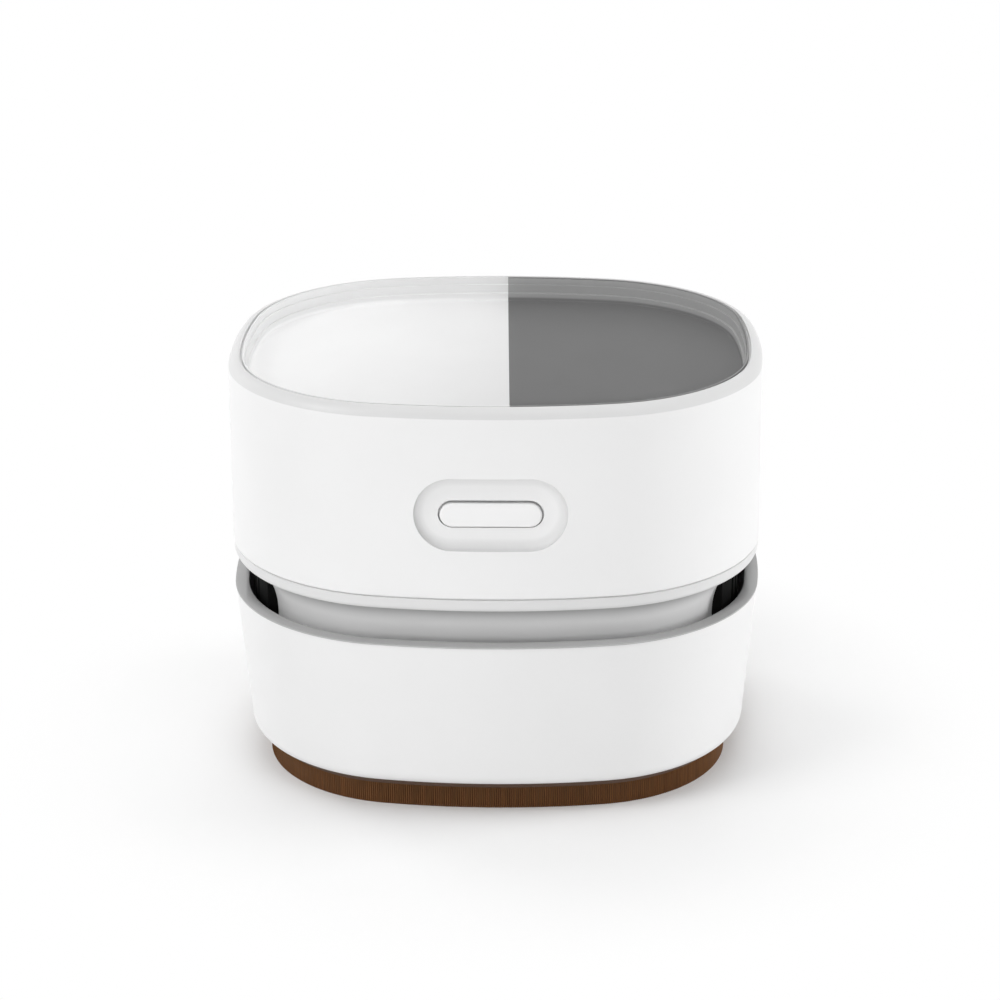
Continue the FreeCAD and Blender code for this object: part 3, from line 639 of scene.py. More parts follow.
class Nodes:
    """A node tree being wired up."""

    def __init__(self, tree: bpy.types.NodeTree) -> None:
        """Takes over a tree and empties it."""
        self.tree = tree
        tree.nodes.clear()

    def add(self, kind: str, inputs: Optional[dict] = None, **settings: object) -> bpy.types.Node:
        """Adds a node, sets it up and links what feeds it.

        Args:
            kind: the node's type without the ShaderNode prefix.
            inputs: values or output sockets by input name or number.
            settings: properties of the node.

        Returns:
            The node.
        """
        node = self.tree.nodes.new(kind if kind.startswith("Node") else "ShaderNode" + kind)
        for key, value in settings.items():
            setattr(node, key, value)
        for key, value in (inputs or {}).items():
            if isinstance(value, bpy.types.NodeSocket):
                self.tree.links.new(value, node.inputs[key])
            else:
                node.inputs[key].default_value = value
        return node

    def place(self) -> bpy.types.NodeSocket:
        """The shaded point in the piece's own coordinates."""
        return self.add("TexCoord").outputs["Object"]

    def noise(self, place: bpy.types.NodeSocket, scale: object, detail: float) -> bpy.types.NodeSocket:
        """Adds a noise and gives its value from 0 to 1."""
        return self.add("TexNoise", {"Vector": place, "Scale": scale, "Detail": detail}).outputs["Fac"]

    def math(self, operation: str, *values: object, clamp: bool = False) -> bpy.types.NodeSocket:
        """Works out a value.

        Args:
            operation: what the Math node does.
            values: its values or output sockets in order.
            clamp: whether the result stays between 0 and 1.

        Returns:
            The result's socket.
        """
        return self.add("Math", dict(enumerate(values)), operation=operation, use_clamp=clamp).outputs[0]

    def length(self, vector: bpy.types.NodeSocket) -> bpy.types.NodeSocket:
        """The length of a vector."""
        return self.add("VectorMath", {0: vector}, operation="LENGTH").outputs["Value"]

    def mix(self, share: object, first: object, second: object) -> bpy.types.NodeSocket:
        """Mixes two colours by the second one's share."""
        return self.add("Mix", {"Factor": share, 6: first, 7: second}, data_type="RGBA").outputs[2]

    def ramp(self, value: object, low: object, high: object, curve: str = "LINEAR") -> bpy.types.NodeSocket:
        """Turns a value into a share that is 0 at one limit and 1 at the other.

        Args:
            value: the value.
            low: where the share is 0.
            high: where the share is 1.
            curve: LINEAR or SMOOTHSTEP.

        Returns:
            The share's socket.
        """
        limits = {"Value": value, "From Min": low, "From Max": high}
        return self.add("MapRange", limits, interpolation_type=curve).outputs["Result"]


def group(name: str, inputs: dict, outputs: dict) -> tuple[bpy.types.NodeTree, Nodes, Sequence]:
    """Starts a shader node group.

    Args:
        name: the group's name.
        inputs: default values by name.
        outputs: socket kinds by name, Color or Float.

    Returns:
        The group, its wiring and the sockets that bring its inputs.
    """
    tree = bpy.data.node_groups.new(name, "ShaderNodeTree")
    nodes = Nodes(tree)
    for key, value in inputs.items():
        kind = "Float" if isinstance(value, float) else "Color"
        socket = tree.interface.new_socket(name=key, in_out="INPUT", socket_type="NodeSocket" + kind)
        socket.default_value = value
    for key, kind in outputs.items():
        tree.interface.new_socket(name=key, in_out="OUTPUT", socket_type="NodeSocket" + kind)
    return tree, nodes, nodes.add("NodeGroupInput").outputs


def moulded_group() -> bpy.types.NodeTree:
    """Clouded colour, uneven gloss and fine grain of moulded plastic.

    Returns:
        The node group.
    """
    tree, nodes, given = group(
        "moulded_surface",
        {"Color": WHITE, "Shade": 0.03, "Cloud": 60.0, "Grain": 5000.0, "Roughness": 0.4, "Spread": 0.05},
        {"Color": "Color", "Roughness": "Float", "Height": "Float"},
    )
    place = nodes.place()
    cloud = nodes.ramp(nodes.noise(place, given["Cloud"], CLOUD_DETAIL), *CLOUD_SPAN)
    dark = nodes.mix(nodes.math("MULTIPLY", cloud, given["Shade"]), given["Color"], BLACK)
    offset = nodes.math("ADD", cloud, -0.5)
    rough = nodes.math("MULTIPLY_ADD", offset, given["Spread"], given["Roughness"])
    grain = nodes.noise(place, given["Grain"], GRAIN_DETAIL)
    nodes.add("NodeGroupOutput", {"Color": dark, "Roughness": rough, "Height": grain})
    return tree


def fibre_group() -> bpy.types.NodeTree:
    """Streaks that run along Z, for bristles, paper and brushed metal.

    Returns:
        The node group.
    """
    tree, nodes, given = group(
        "fibre_streaks",
        {"Light": WHITE, "Dark": BLACK, "Across": 3000.0, "Along": 120.0, "Roughness": 0.5, "Spread": 0.2},
        {"Color": "Color", "Roughness": "Float", "Height": "Float"},
    )
    scale = nodes.add("CombineXYZ", {0: given["Across"], 1: given["Across"], 2: given["Along"]})
    stretched = nodes.add("VectorMath", {0: nodes.place(), 1: scale.outputs[0]}, operation="MULTIPLY")
    streak = nodes.ramp(nodes.noise(stretched.outputs[0], 1.0, CLOUD_DETAIL), *STREAK_SPAN)
    tint = nodes.mix(streak, given["Dark"], given["Light"])
    rough = nodes.math("MULTIPLY_ADD", streak, given["Spread"], given["Roughness"])
    nodes.add("NodeGroupOutput", {"Color": tint, "Roughness": rough, "Height": streak})
    return tree


def level_group() -> bpy.types.NodeTree:
    """Two colours that meet softly at a height; the lower one may darken along X and Y. Some finishes use it
    to paint shade and a reflection gradient.

    Returns:
        The node group.
    """
    tree, nodes, given = group(
        "level_tint",
        {"Above": WHITE, "Below": WHITE, "Level": 0.0, "Blend": 0.0006, "Start": 0.0, "Drift X": 0.0,
         "Drift Y": 0.0},
        {"Color": "Color"},
    )
    place = nodes.add("SeparateXYZ", {0: nodes.place()}).outputs
    along = nodes.math("MULTIPLY_ADD", place[0], given["Drift X"], given["Start"])
    drift = nodes.math("MULTIPLY_ADD", place[1], given["Drift Y"], along, clamp=True)
    below = nodes.mix(drift, given["Below"], BLACK)
    end = nodes.math("ADD", given["Level"], given["Blend"])
    share = nodes.ramp(place[2], given["Level"], end, "SMOOTHSTEP")
    nodes.add("NodeGroupOutput", {"Color": nodes.mix(share, below, given["Above"])})
    return tree


def dish_shade_group() -> bpy.types.NodeTree:
    """Painted shade: a colour that darkens towards the edge of a pill-shaped dish in the front wall, where
    the recess lies in shade.

    Returns:
        The node group.
    """
    tree, nodes, given = group(
        "dish_shade",
        {"Color": WHITE, "Height": 0.0, "Reach": 0.0, "Radius": 0.006, "Fade": 0.0016, "Depth": 0.2},
        {"Color": "Color"},
    )
    place = nodes.add("SeparateXYZ", {0: nodes.place()}).outputs
    past = nodes.math("SUBTRACT", nodes.math("ABSOLUTE", place[0]), given["Reach"])
    rise = nodes.math("SUBTRACT", place[2], given["Height"])
    away = nodes.length(nodes.add("CombineXYZ", {0: nodes.math("MAXIMUM", past, 0.0), 1: rise}).outputs[0])
    shade_mask = nodes.ramp(away, nodes.math("SUBTRACT", given["Radius"], given["Fade"]), given["Radius"])
    inside = nodes.math("LESS_THAN", away, given["Radius"])
    front = nodes.math("LESS_THAN", place[1], 0.0)
    for part in (inside, front, given["Depth"]):
        shade_mask = nodes.math("MULTIPLY", shade_mask, part)
    nodes.add("NodeGroupOutput", {"Color": nodes.mix(shade_mask, given["Color"], BLACK)})
    return tree


def shared(name: str, build: Callable[[], bpy.types.NodeTree]) -> bpy.types.NodeTree:
    """A node group, built on its first use."""
    return bpy.data.node_groups.get(name) or build()


def new_material(name: str) -> tuple[bpy.types.Material, Nodes]:
    """Starts a node material.

    Args:
        name: the material's name.

    Returns:
        The material and its wiring.
    """
    material = bpy.data.materials.new(name)
    material.use_nodes = True
    return material, Nodes(material.node_tree)


@dataclass(frozen=True)
class Moulded:
    """Moulded plastic or rubber.

    Args:
        name: the finish's name.
        color: its colour in linear light.
        roughness: its mean roughness.
        texture: how coarse its surface is.
        spread: how much its gloss wanders.
        cloud: how much its colour wanders.
        coat: weight of a clear glossy skin.
        specular: strength of its own reflection.
        coat_roughness: roughness of the clear skin.
        grain_height: height of the grain.
    """

    name: str
    color: tuple
    roughness: float = 0.4
    texture: Texture = Texture.SATIN
    spread: float = 0.05
    cloud: float = 0.02
    coat: float = 0.0
    specular: float = 0.5
    coat_roughness: float = 0.08
    grain_height: float = 0.02 * MM

    def tint(self, nodes: Nodes) -> object:
        """The colour that the surface starts from: a plain one here, or a socket."""
        return self.color

    def material(self) -> bpy.types.Material:
        """Wires up the finish.

        Returns:
            The material.
        """
        material, nodes = new_material(self.name)
        grains, depth = self.texture.value
        surface = nodes.add("Group", {
            "Color": self.tint(nodes), "Shade": self.cloud, "Grain": grains, "Roughness": self.roughness,
            "Spread": self.spread,
        }, node_tree=shared("moulded_surface", moulded_group)).outputs
        bump = nodes.add("Bump", {"Height": surface["Height"], "Strength": depth,
                                  "Distance": self.grain_height})
        skin = nodes.add("BsdfPrincipled", {
            "Base Color": surface["Color"], "Roughness": surface["Roughness"], "Normal": bump.outputs[0],
            "Coat Weight": self.coat, "Coat Roughness": self.coat_roughness,
            "Specular IOR Level": self.specular,
        })
        nodes.add("OutputMaterial", {"Surface": skin.outputs[0]})
        return material


@dataclass(frozen=True)
class TwoTone(Moulded):
    """Moulded plastic whose colour below a level differs from the colour above it; on the rim band and the
    cove the difference is painted shade.

    Args:
        below: its colour below the level.
        level: the height of the change.
        blend: the height over which the colours meet.
        drift: how much the lower colour darkens at the origin, and per metre along X and Y; on the pale tray
            a painted reflection gradient.
    """

    below: tuple = WHITE
    level: float = 0.0
    blend: float = 0.6 * MM
    drift: tuple = (0.0, 0.0, 0.0)

    def tint(self, nodes: Nodes) -> object:
        """The two colours, which meet at the level.

        Args:
            nodes: the material's wiring.

        Returns:
            The colour's socket.
        """
        start, across, along = self.drift
        return nodes.add("Group", {
            "Above": self.color, "Below": self.below, "Level": self.level, "Blend": self.blend,
            "Start": start, "Drift X": across, "Drift Y": along,
        }, node_tree=shared("level_tint", level_group)).outputs["Color"]


@dataclass(frozen=True)
class Dished(TwoTone):
    """Two-tone plastic with painted shade along the edge of the button dish.

    Args:
        height: height of the dish's middle.
        size: the dish's length and height.
        fade: width of the painted shade along the edge.
        depth: how much darker the painted shade makes the edge.
    """

    height: float = 0.0
    size: tuple = (24.0 * MM, 12.0 * MM)
    fade: float = 1.7 * MM
    depth: float = 0.22

    def tint(self, nodes: Nodes) -> object:
        """The two colours, with painted shade along the dish's edge.

        Args:
            nodes: the material's wiring.

        Returns:
            The colour's socket.
        """
        length, width = self.size
        return nodes.add("Group", {
            "Color": super().tint(nodes), "Height": self.height, "Reach": (length - width) / 2,
            "Radius": width / 2, "Fade": self.fade, "Depth": self.depth,
        }, node_tree=shared("dish_shade", dish_shade_group)).outputs["Color"]


@dataclass(frozen=True)
class Fibrous:
    """A streaked surface: bristles, paper or brushed metal.

    Args:
        name: the finish's name.
        light: colour of the streaks' crests.
        dark: colour between them.
        across: streaks per metre.
        along: changes per metre along Z.
        roughness: roughness between the streaks.
        metallic: 1 for metal.
        depth: strength of the bump.
        specular: strength of its own reflection.
        spread: how much rougher the crests are.
        streak_height: height of the crests.
    """

    name: str
    light: tuple
    dark: tuple
    across: float = 3000.0
    along: float = 120.0
    roughness: float = 0.5
    metallic: float = 0.0
    depth: float = 0.3
    specular: float = 0.5
    spread: float = 0.15
    streak_height: float = 0.05 * MM

    def material(self) -> bpy.types.Material:
        """Wires up the finish.

        Returns:
            The material.
        """
        material, nodes = new_material(self.name)
        surface = nodes.add("Group", {
            "Light": self.light, "Dark": self.dark, "Across": self.across, "Along": self.along,
            "Roughness": self.roughness, "Spread": self.spread,
        }, node_tree=shared("fibre_streaks", fibre_group)).outputs
        bump = nodes.add("Bump", {"Height": surface["Height"], "Strength": self.depth,
                                  "Distance": self.streak_height})
        skin = nodes.add("BsdfPrincipled", {
            "Base Color": surface["Color"], "Roughness": surface["Roughness"], "Metallic": self.metallic,
            "Normal": bump.outputs[0], "Specular IOR Level": self.specular,
        })
        nodes.add("OutputMaterial", {"Surface": skin.outputs[0]})
        return material


@dataclass(frozen=True)
class ClearPlastic:
    """A thin clear moulding that only its reflections show.

    Args:
        name: the finish's name.
        tint: what the moulding lets through.
        gloss: share of the full reflection that it keeps.
        roughness: its mean roughness.
        spread: how much its gloss wanders.
        index: its refractive index.
    """

    name: str
    tint: tuple = WHITE
    gloss: float = 0.5
    roughness: float = 0.04
    spread: float = 0.02
    index: float = 1.45

    def material(self) -> bpy.types.Material:
        """Wires up the finish, which reflects on its outer side only.

        Returns:
            The material.
        """
        material, nodes = new_material(self.name)
        surface = nodes.add("Group", {"Roughness": self.roughness, "Spread": self.spread},
                            node_tree=shared("moulded_surface", moulded_group)).outputs
        skin = nodes.add("BsdfPrincipled", {"Base Color": surface["Color"], "Roughness": surface["Roughness"],
                                            "Metallic": 1.0})
        clear = nodes.add("BsdfTransparent", {"Color": self.tint})
        edge = nodes.add("Fresnel", {"IOR": self.index}).outputs[0]
        outside = nodes.math("SUBTRACT", 1.0, nodes.add("NewGeometry").outputs["Backfacing"])
        share = nodes.math("MULTIPLY", nodes.math("MULTIPLY", edge, outside), self.gloss)
        both = nodes.add("MixShader", {0: share, 1: clear.outputs[0], 2: skin.outputs[0]})
        nodes.add("OutputMaterial", {"Surface": both.outputs[0]})
        return material


class Finishes:
    """Every finish of the cleaner, made into materials once."""

    TRAY_RISE = 0.3 * MM
    RIM_SHADE_OFFSET = 0.05 * MM
    RIM_SHADE_BLEND = 0.1 * MM
    COVE_SHADE_FADE = 4.2 * MM
    CATALOGUE = (
        Moulded("white_plastic", shade(240), 0.42, Texture.SATIN, cloud=0.01),
        Moulded("button_plastic", shade(248), 0.38, Texture.SATIN, cloud=0.01),
        Moulded("lip_plastic", shade(226), 0.42, Texture.SATIN, cloud=0.01),
        Moulded("cup_plastic", shade(184), 0.4, Texture.POLISHED),
        Moulded("black_plastic", shade(26), 0.6, Texture.MATT, specular=0.15),
        Moulded("window_black", shade(15), 0.7, Texture.MATT, specular=0.05),
        Moulded("brown_plastic", shade(78, 55, 40), 0.5, Texture.MATT, cloud=0.1),
        Moulded("foot_plastic", shade(52, 44, 38), 0.3, Texture.POLISHED),
        Moulded("seal_rubber", shade(38), 0.75, Texture.SOFT),
        Moulded("impeller_plastic", shade(226, 226, 220), 0.35, Texture.SATIN),
        Moulded("cell_wrap", shade(70, 120, 140), 0.2, Texture.POLISHED, coat=0.4),
        Moulded("board", shade(26, 96, 58), 0.4, Texture.MATT, cloud=0.25, coat=0.3),
        Fibrous("bristle_nylon", shade(110, 74, 44), shade(90, 60, 35), specular=0.15),
        Fibrous("filter_paper", shade(236, 233, 222), shade(214, 210, 196), 1600.0, 1400.0, 0.8, depth=0.5),
        Fibrous("steel", shade(205), shade(176), 2600.0, 90.0, 0.28, 1.0, 0.1),
        Fibrous("brass", shade(214, 186, 122), shade(186, 156, 96), 2600.0, 90.0, 0.3, 1.0, 0.1),
        ClearPlastic("clear_lens"),
        ClearPlastic("clear_rod", (0.9, 0.95, 1.0, 1), 0.9),
    )

    def __init__(self, top: float, lip: float) -> None:
        """Makes the materials.

        Args:
            top: height of the head's top, from which the rim band's painted shade and the tray's two tones
                take their level.
            lip: height of the lip's underside, under which the cove's painted shade lies.
        """
        floor = top - Head.tray_floor_drop + self.TRAY_RISE
        levelled = (
            # housing_plastic: the darker colour above the rim's shoulder is painted shade on the rim band;
            # the dish's edge also gets painted shade.
            Dished("housing_plastic", shade(222), 0.36, Texture.SATIN, cloud=0.01, below=shade(243),
                   level=top - Head.rim_drop - self.RIM_SHADE_OFFSET, blend=self.RIM_SHADE_BLEND, height=Head.dish_height,
                   size=Head.dish_size),
            # tray_pale: the drift is a painted reflection gradient, darkening the pale floor towards the seam
            # and the front.
            TwoTone("tray_pale", shade(236), 0.4, Texture.SMOOTH, below=shade(254), level=floor,
                    drift=(0.19, 5.5, -2.2)),
            TwoTone("tray_dark", shade(146), 0.4, Texture.SMOOTH, specular=0.1, below=shade(61), level=floor),
            # cove_plastic: the darker colour above is painted shade under the lip, fading into the walls'
            # pale colour below.
            TwoTone("cove_plastic", shade(146), 0.45, Texture.SATIN, below=shade(244),
                    level=lip - self.COVE_SHADE_FADE, blend=self.COVE_SHADE_FADE),
        )
        self.made = {finish.name: finish.material() for finish in self.CATALOGUE + levelled}

    def paint(self, obj: bpy.types.Object, name: str) -> None:
        """Gives a whole object one finish."""
        obj.data.materials.clear()
        obj.data.materials.append(self.made[name])


class Workshop:
    """What every sub-assembly needs: the frame, the plan outline and the finishes."""

    def __init__(self, frame: dict) -> None:
        """Reads the outline from the housing in the frame.
        """
        self.nodes = frame["nodes"]
        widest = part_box("upper_shell")[1]
        self.finishes = Finishes(widest[2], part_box("belly_pan")[0][2])
        self.lathe = Lathe(Oval(widest[0], widest[1]))
        self.kept: set[str] = set()

    def fit(self, obj: bpy.types.Object, body: str, finish: str, *nodes: str) -> bpy.types.Object:
        """Paints a new piece, puts it on its body and lets it stand for its CAD nodes.

        Args:
            obj: the new piece.
            body: the CAD body that it rides on.
            finish: its finish.
            nodes: the CAD nodes that it stands for.

        Returns:
            The piece.
        """
        self.finishes.paint(obj, finish)
        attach(obj, body)
        if nodes:
            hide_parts(*nodes)
            self.kept.update(nodes)
        log.info("%s: %d faces on %s", obj.name, len(obj.data.polygons), body)
        return obj

    def dress(self, finish: str, *nodes: str) -> None:
        """Gives CAD nodes that stay as they are a finish.

        Args:
            finish: the finish's name.
            nodes: the CAD nodes.
        """
        for node in nodes:
            self.finishes.paint(self.nodes[node], finish)
            self.kept.add(node)
            log.info("%s: dressed in %s", node, finish)


# ================================================================ head
@dataclass
class Head:
    """The motor head's outer pieces: housing, lip, waist, tray, lens and button.

    Args:
        shop: the frame, the outline and the finishes.

    A name that ends in _drop is a depth below the head's top, one that ends in _inset or _width is measured
    inwards, one that ends in _round is an edge's radius, and one that ends in _cut is how far a cutter goes.
    """

    shop: Workshop
    draft: float = 0.35 * MM
    wall: float = 1.8 * MM
    rim_width: float = 2.3 * MM
    rim_drop: float = 1.6 * MM
    rim_rise: float = 0.35 * MM
    rim_round: float = 0.2 * MM
    shoulder_round: float = 0.25 * MM
    foot_round: float = 0.12 * MM
    ledge_width: float = 2.3 * MM
    ledge_wall: float = 1.2 * MM
    tray_drop: float = 5.5 * MM
    lip_inset: float = 0.15 * MM
    lip_width: float = 2 * MM
    lip_round: tuple = (0.2 * MM, 1.0 * MM)
    groove: tuple = (0.6 * MM, 0.3 * MM)
    waist_inset: float = 5.2 * MM
    waist_flare: float = 2.7 * MM
    waist_cove: float = 7.4 * MM
    waist_wall: float = 1.2 * MM
    waist_round: float = 0.1 * MM
    waist_steps: int = 14
    waist_seam: float = math.radians(29.0)
    button_drop: float = 0.3 * MM
    button_sag: float = 0.15 * MM
    button_size: tuple = (16.2 * MM, 4.0 * MM)
    button_gap: float = 0.3 * MM
    button_sink: float = 1.3 * MM
    button_round: float = 0.35 * MM
    button_cut: tuple = (5 * MM, 6 * MM)
    flange_depth: float = 0.9 * MM
    flange_round: float = 0.2 * MM
    dish_height: float = 53.6 * MM
    dish_size: tuple = (24.4 * MM, 12.1 * MM)
    dish_depth: float = 1.6 * MM
    dish_round: float = 1.05 * MM
    dish_lip: float = 0.35 * MM
    dish_cut: float = 4 * MM
    dish_edge: float = 1.3 * MM
    plug_size: tuple = (12.4 * MM, 6.4 * MM)
    plug_round: float = 0.2 * MM
    plug_cut: tuple = (4 * MM, 6 * MM)
    tray_wall: float = 0.5 * MM
    tray_gap: float = 0.1 * MM
    rim_gap: float = 0.35 * MM
    rim_fit: float = 0.03 * MM
    rim_line: float = 0.55 * MM
    tray_edge_drop: float = 0.06 * MM
    tray_step: float = 0.35 * MM
    tray_step_drop: float = 2.9 * MM
    tray_floor_drop: float = 4.3 * MM
    tray_width: float = 4 * MM
    tray_edge_round: float = 0.06 * MM
    tray_seat_round: float = 0.1 * MM
    tray_step_round: float = 0.12 * MM
    tray_floor_round: float = 0.35 * MM
    tray_seam: float = 2.1 * MM
    tray_seam_turn: float = math.radians(1.4)
    lens_seat: float = 0.3 * MM
    lens_sink: float = 0.15 * MM
    lens_wall: float = 1.2 * MM
    lens_width: float = 3 * MM
    lens_round: tuple = (0.2 * MM, 0.1 * MM)

    def build(self) -> None:
        """Models and dresses every piece."""
        low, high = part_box("upper_shell")
        pan_low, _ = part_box("belly_pan")
        self.top = high[2]
        self.lip_bottom = pan_low[2]
        self.part_line = low[2]
        self.front = low[1]
        self.button_height = self.dish_height - self.button_drop
        self.housing()
        self.lip()
        self.waist()
        self.tray()
        self.lens()
        self.button()

    def wall_inset(self, z: float) -> float:
        """The housing's outer inset at a height."""
        return self.draft * (z - self.part_line) / (self.top - self.rim_drop - self.part_line)

    def housing(self) -> None:
        """The white housing with its dish, button hole and charging port."""
        shoulder = self.top - self.rim_drop
        ledge = self.top - self.tray_drop
        under = ledge - self.ledge_wall
        rim = (self.rim_width, self.top)
        sleeve = self.rim_width + self.rim_gap - self.rim_fit
        groove_depth, groove_height = self.groove
        profile = rounded([
            Knot(0, self.part_line + groove_height, self.foot_round),
            Knot(self.draft, shoulder, self.shoulder_round),
            *bow((self.draft, shoulder), rim, self.rim_rise),
            Knot(*rim, self.rim_round),
            Knot(self.rim_width, self.top - self.rim_line),
            Knot(sleeve, self.top - self.rim_line),
            Knot(sleeve, ledge),
            Knot(self.rim_width + self.ledge_width, ledge),
            Knot(self.rim_width + self.ledge_width, under),
            Knot(self.wall + self.wall_inset(under), under),
            Knot(self.wall, self.part_line),
            Knot(groove_depth, self.part_line),
            Knot(groove_depth, self.part_line + groove_height),
        ])
        shell = self.shop.lathe.sweep("housing_shell", self.lined(profile)).done()
        carve(shell, self.dish())
        self.round_dish(shell)
        carve(shell, self.button_hole())
        for cutter in self.port():
            carve(shell, cutter)
        # housing_plastic: painted shade on the rim band and along the dish's edge.
        self.shop.fit(shell, "main_body", "housing_plastic", "upper_shell")

    @staticmethod
    def lined(profile: list[tuple[float, float]], pitch: float = 2.0 * MM) -> list[tuple[float, float]]:
        """Adds points to a profile's long edges, so that the swept faces stay nearly square.

        Args:
            profile: the points as (inset, z).
            pitch: the longest edge that is left whole.

        Returns:
            The finer profile.
        """
        finer = []
        for i, point in enumerate(profile):
            start, end = Vector(point), Vector(profile[(i + 1) % len(profile)])
            parts = max(1, round((end - start).length / pitch))
            finer += [tuple(start.lerp(end, part / parts)) for part in range(parts)]
        return finer

    def dish_floor(self) -> float:
        """Y of the button dish's flat floor."""
        return self.front + self.wall_inset(self.dish_height) + self.dish_depth

    def on_dish_edge(self, place: Vector) -> bool:
        """Whether a place lies where the dish meets the wall.

        Args:
            place: the place.

        Returns:
            True on the edge.
        """
        length, width = self.dish_size
        across = max(abs(place.x) - (length - width) / 2, 0)
        away = math.hypot(across, place.z - self.dish_height)
        return place.y < self.front + self.dish_edge and abs(away - width / 2) < WELD

    def round_dish(self, shell: bpy.types.Object) -> None:
        """Rounds the edge where the dish meets the wall."""
        Bench.of(shell).pick(self.on_dish_edge, "EDGE").bevel(self.dish_lip, 4).done()

    def dish(self) -> bpy.types.Object:
        """Makes the cutter for the dish round the button.

        Returns:
            The cutter.
        """
        floor = self.dish_floor()
        bench = pill("dish", *self.dish_size, Vector((0, floor, self.dish_height)),
                     Vector((0, -self.dish_cut, 0)))
        bench.pick(lambda p: abs(p.y - floor) < WELD, "EDGE").bevel(self.dish_round, 6)
        return bench.done()

    def button_hole(self) -> bpy.types.Object:
        """Makes the cutter for the hole that the button stands in.

        Returns:
            The cutter.
        """
        length, width = (size + 2 * self.button_gap for size in self.button_size)
        behind, reach = self.button_cut
        start = Vector((0, self.front + behind, self.button_height))
        return pill("button_hole", length, width, start, Vector((0, -reach, 0))).done()

    def port(self) -> list[bpy.types.Object]:
        """Makes the cutters for the plug recess, the socket and the light in the rear wall.

        Returns:
            The three cutters.
        """
        low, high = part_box("usb_socket")
        middle = Vector((0, high[1], (low[2] + high[2]) / 2))
        gap = 2 * self.tray_gap
        behind, through = Vector((0, self.plug_cut[0], 0)), Vector((0, self.plug_cut[1], 0))
        bench = pill("recess", *self.plug_size, middle, behind)
        bench.pick(lambda p: abs(p.y - middle.y) < WELD, "EDGE").bevel(self.plug_round, 3)
        recess = bench.done()
        slot = pill("slot", high[0] - low[0] + gap, high[2] - low[2] + gap, middle - behind, through).done()
        low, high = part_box("charge_light_pipe")
        eye = Vector(((low[0] + high[0]) / 2, high[1] - behind.y, middle.z))
        size = high[0] - low[0] + gap
        light = pill("light", size, size, eye, through, 12).done()
        return [recess, slot, light]

    def lip(self) -> None:
        """The head's floor, whose edge is the lip under the parting line."""
        inner = self.wall + self.tray_gap + self.lip_width
        above, below = self.lip_round
        profile = rounded([
            Knot(inner, self.part_line),
            Knot(self.lip_inset, self.part_line, above),
            Knot(self.lip_inset, self.lip_bottom, below),
            Knot(inner, self.lip_bottom),
        ])
        self.shop.fit(self.shop.lathe.slab("head_floor", profile).done(), "main_body", "lip_plastic",
                      "belly_pan")

    def waist(self) -> None:
        """The two cove-shaped walls between the exhaust windows, with painted shade under the lip."""
        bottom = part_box("waist_cover_front")[0][2]
        foot = (self.waist_inset, self.lip_bottom - self.waist_cove)
        flare = (self.waist_flare, self.lip_bottom)
        across, along = self.waist_inset - self.waist_flare, self.waist_cove
        radius = (across**2 + along**2) / (2 * across)
        rise = radius - math.sqrt(radius**2 - (across**2 + along**2) / 4)
        profile = rounded([
            Knot(self.waist_inset, bottom),
            Knot(*foot),
            *bow(foot, flare, -rise, self.waist_steps),
            Knot(*flare, self.waist_round),
            Knot(self.waist_inset + self.waist_wall, self.lip_bottom),
            Knot(self.waist_inset + self.waist_wall, bottom),
        ])
        reach = math.pi / 2 - self.waist_seam
        for side, middle in (("front", 1.5 * math.pi), ("rear", 0.5 * math.pi)):
            wall = self.shop.lathe.sweep("waist_wall_" + side, profile, first=middle - reach,
                                         last=middle + reach)
            self.shop.fit(wall.done(), "main_body", "cove_plastic", "waist_cover_" + side)

    def tray(self) -> None:
        """The dished tray under the lens, parted at the seam into a pale and a grey half."""
        outer = self.rim_width + self.rim_gap
        pocket = self.rim_width + self.tray_gap + self.tray_wall
        inner = pocket + self.lens_seat
        floor = self.top - self.tray_floor_drop
        step = self.top - self.tray_step_drop
        seat = self.top - self.lens_sink - self.lens_wall
        profile = rounded([
            Knot(inner + self.tray_width, self.top - self.tray_drop),
            Knot(outer, self.top - self.tray_drop),
            Knot(outer, self.top - self.tray_edge_drop, self.tray_edge_round),
            Knot(pocket, self.top - self.tray_edge_drop, self.tray_edge_round),
            Knot(pocket, seat),
            Knot(inner, seat, self.tray_seat_round),
            Knot(inner, step, self.tray_step_round),
            Knot(inner + self.tray_step, step, self.tray_step_round),
            Knot(inner + self.tray_step, floor, self.tray_floor_round),
            Knot(inner + self.tray_width, floor),
        ])
        for name, finish, node, drop in (("tray_pale_half", "tray_pale", "tray_light", "outer"),
                                         ("tray_grey_half", "tray_dark", "tray_grey", "inner")):
            bench = self.shop.lathe.slab(name, profile)
            turn = self.tray_seam_turn
            bench.bisect((self.tray_seam, 0, 0), (math.cos(turn), math.sin(turn), 0), drop)
            self.shop.fit(bench.weld().done(), "main_body", finish, node)

    def lens(self) -> None:
        """The clear cover let into the rim."""
        inset = self.rim_width + self.tray_wall + 2 * self.tray_gap
        top = self.top - self.lens_sink
        above, below = self.lens_round
        profile = rounded([
            Knot(inset + self.lens_width, top),
            Knot(inset, top, above),
            Knot(inset, top - self.lens_wall, below),
            Knot(inset + self.lens_width, top - self.lens_wall),
        ])
        self.shop.fit(self.shop.lathe.slab("cover_lens", profile).done(), "main_body", "clear_lens",
                      "top_lens")

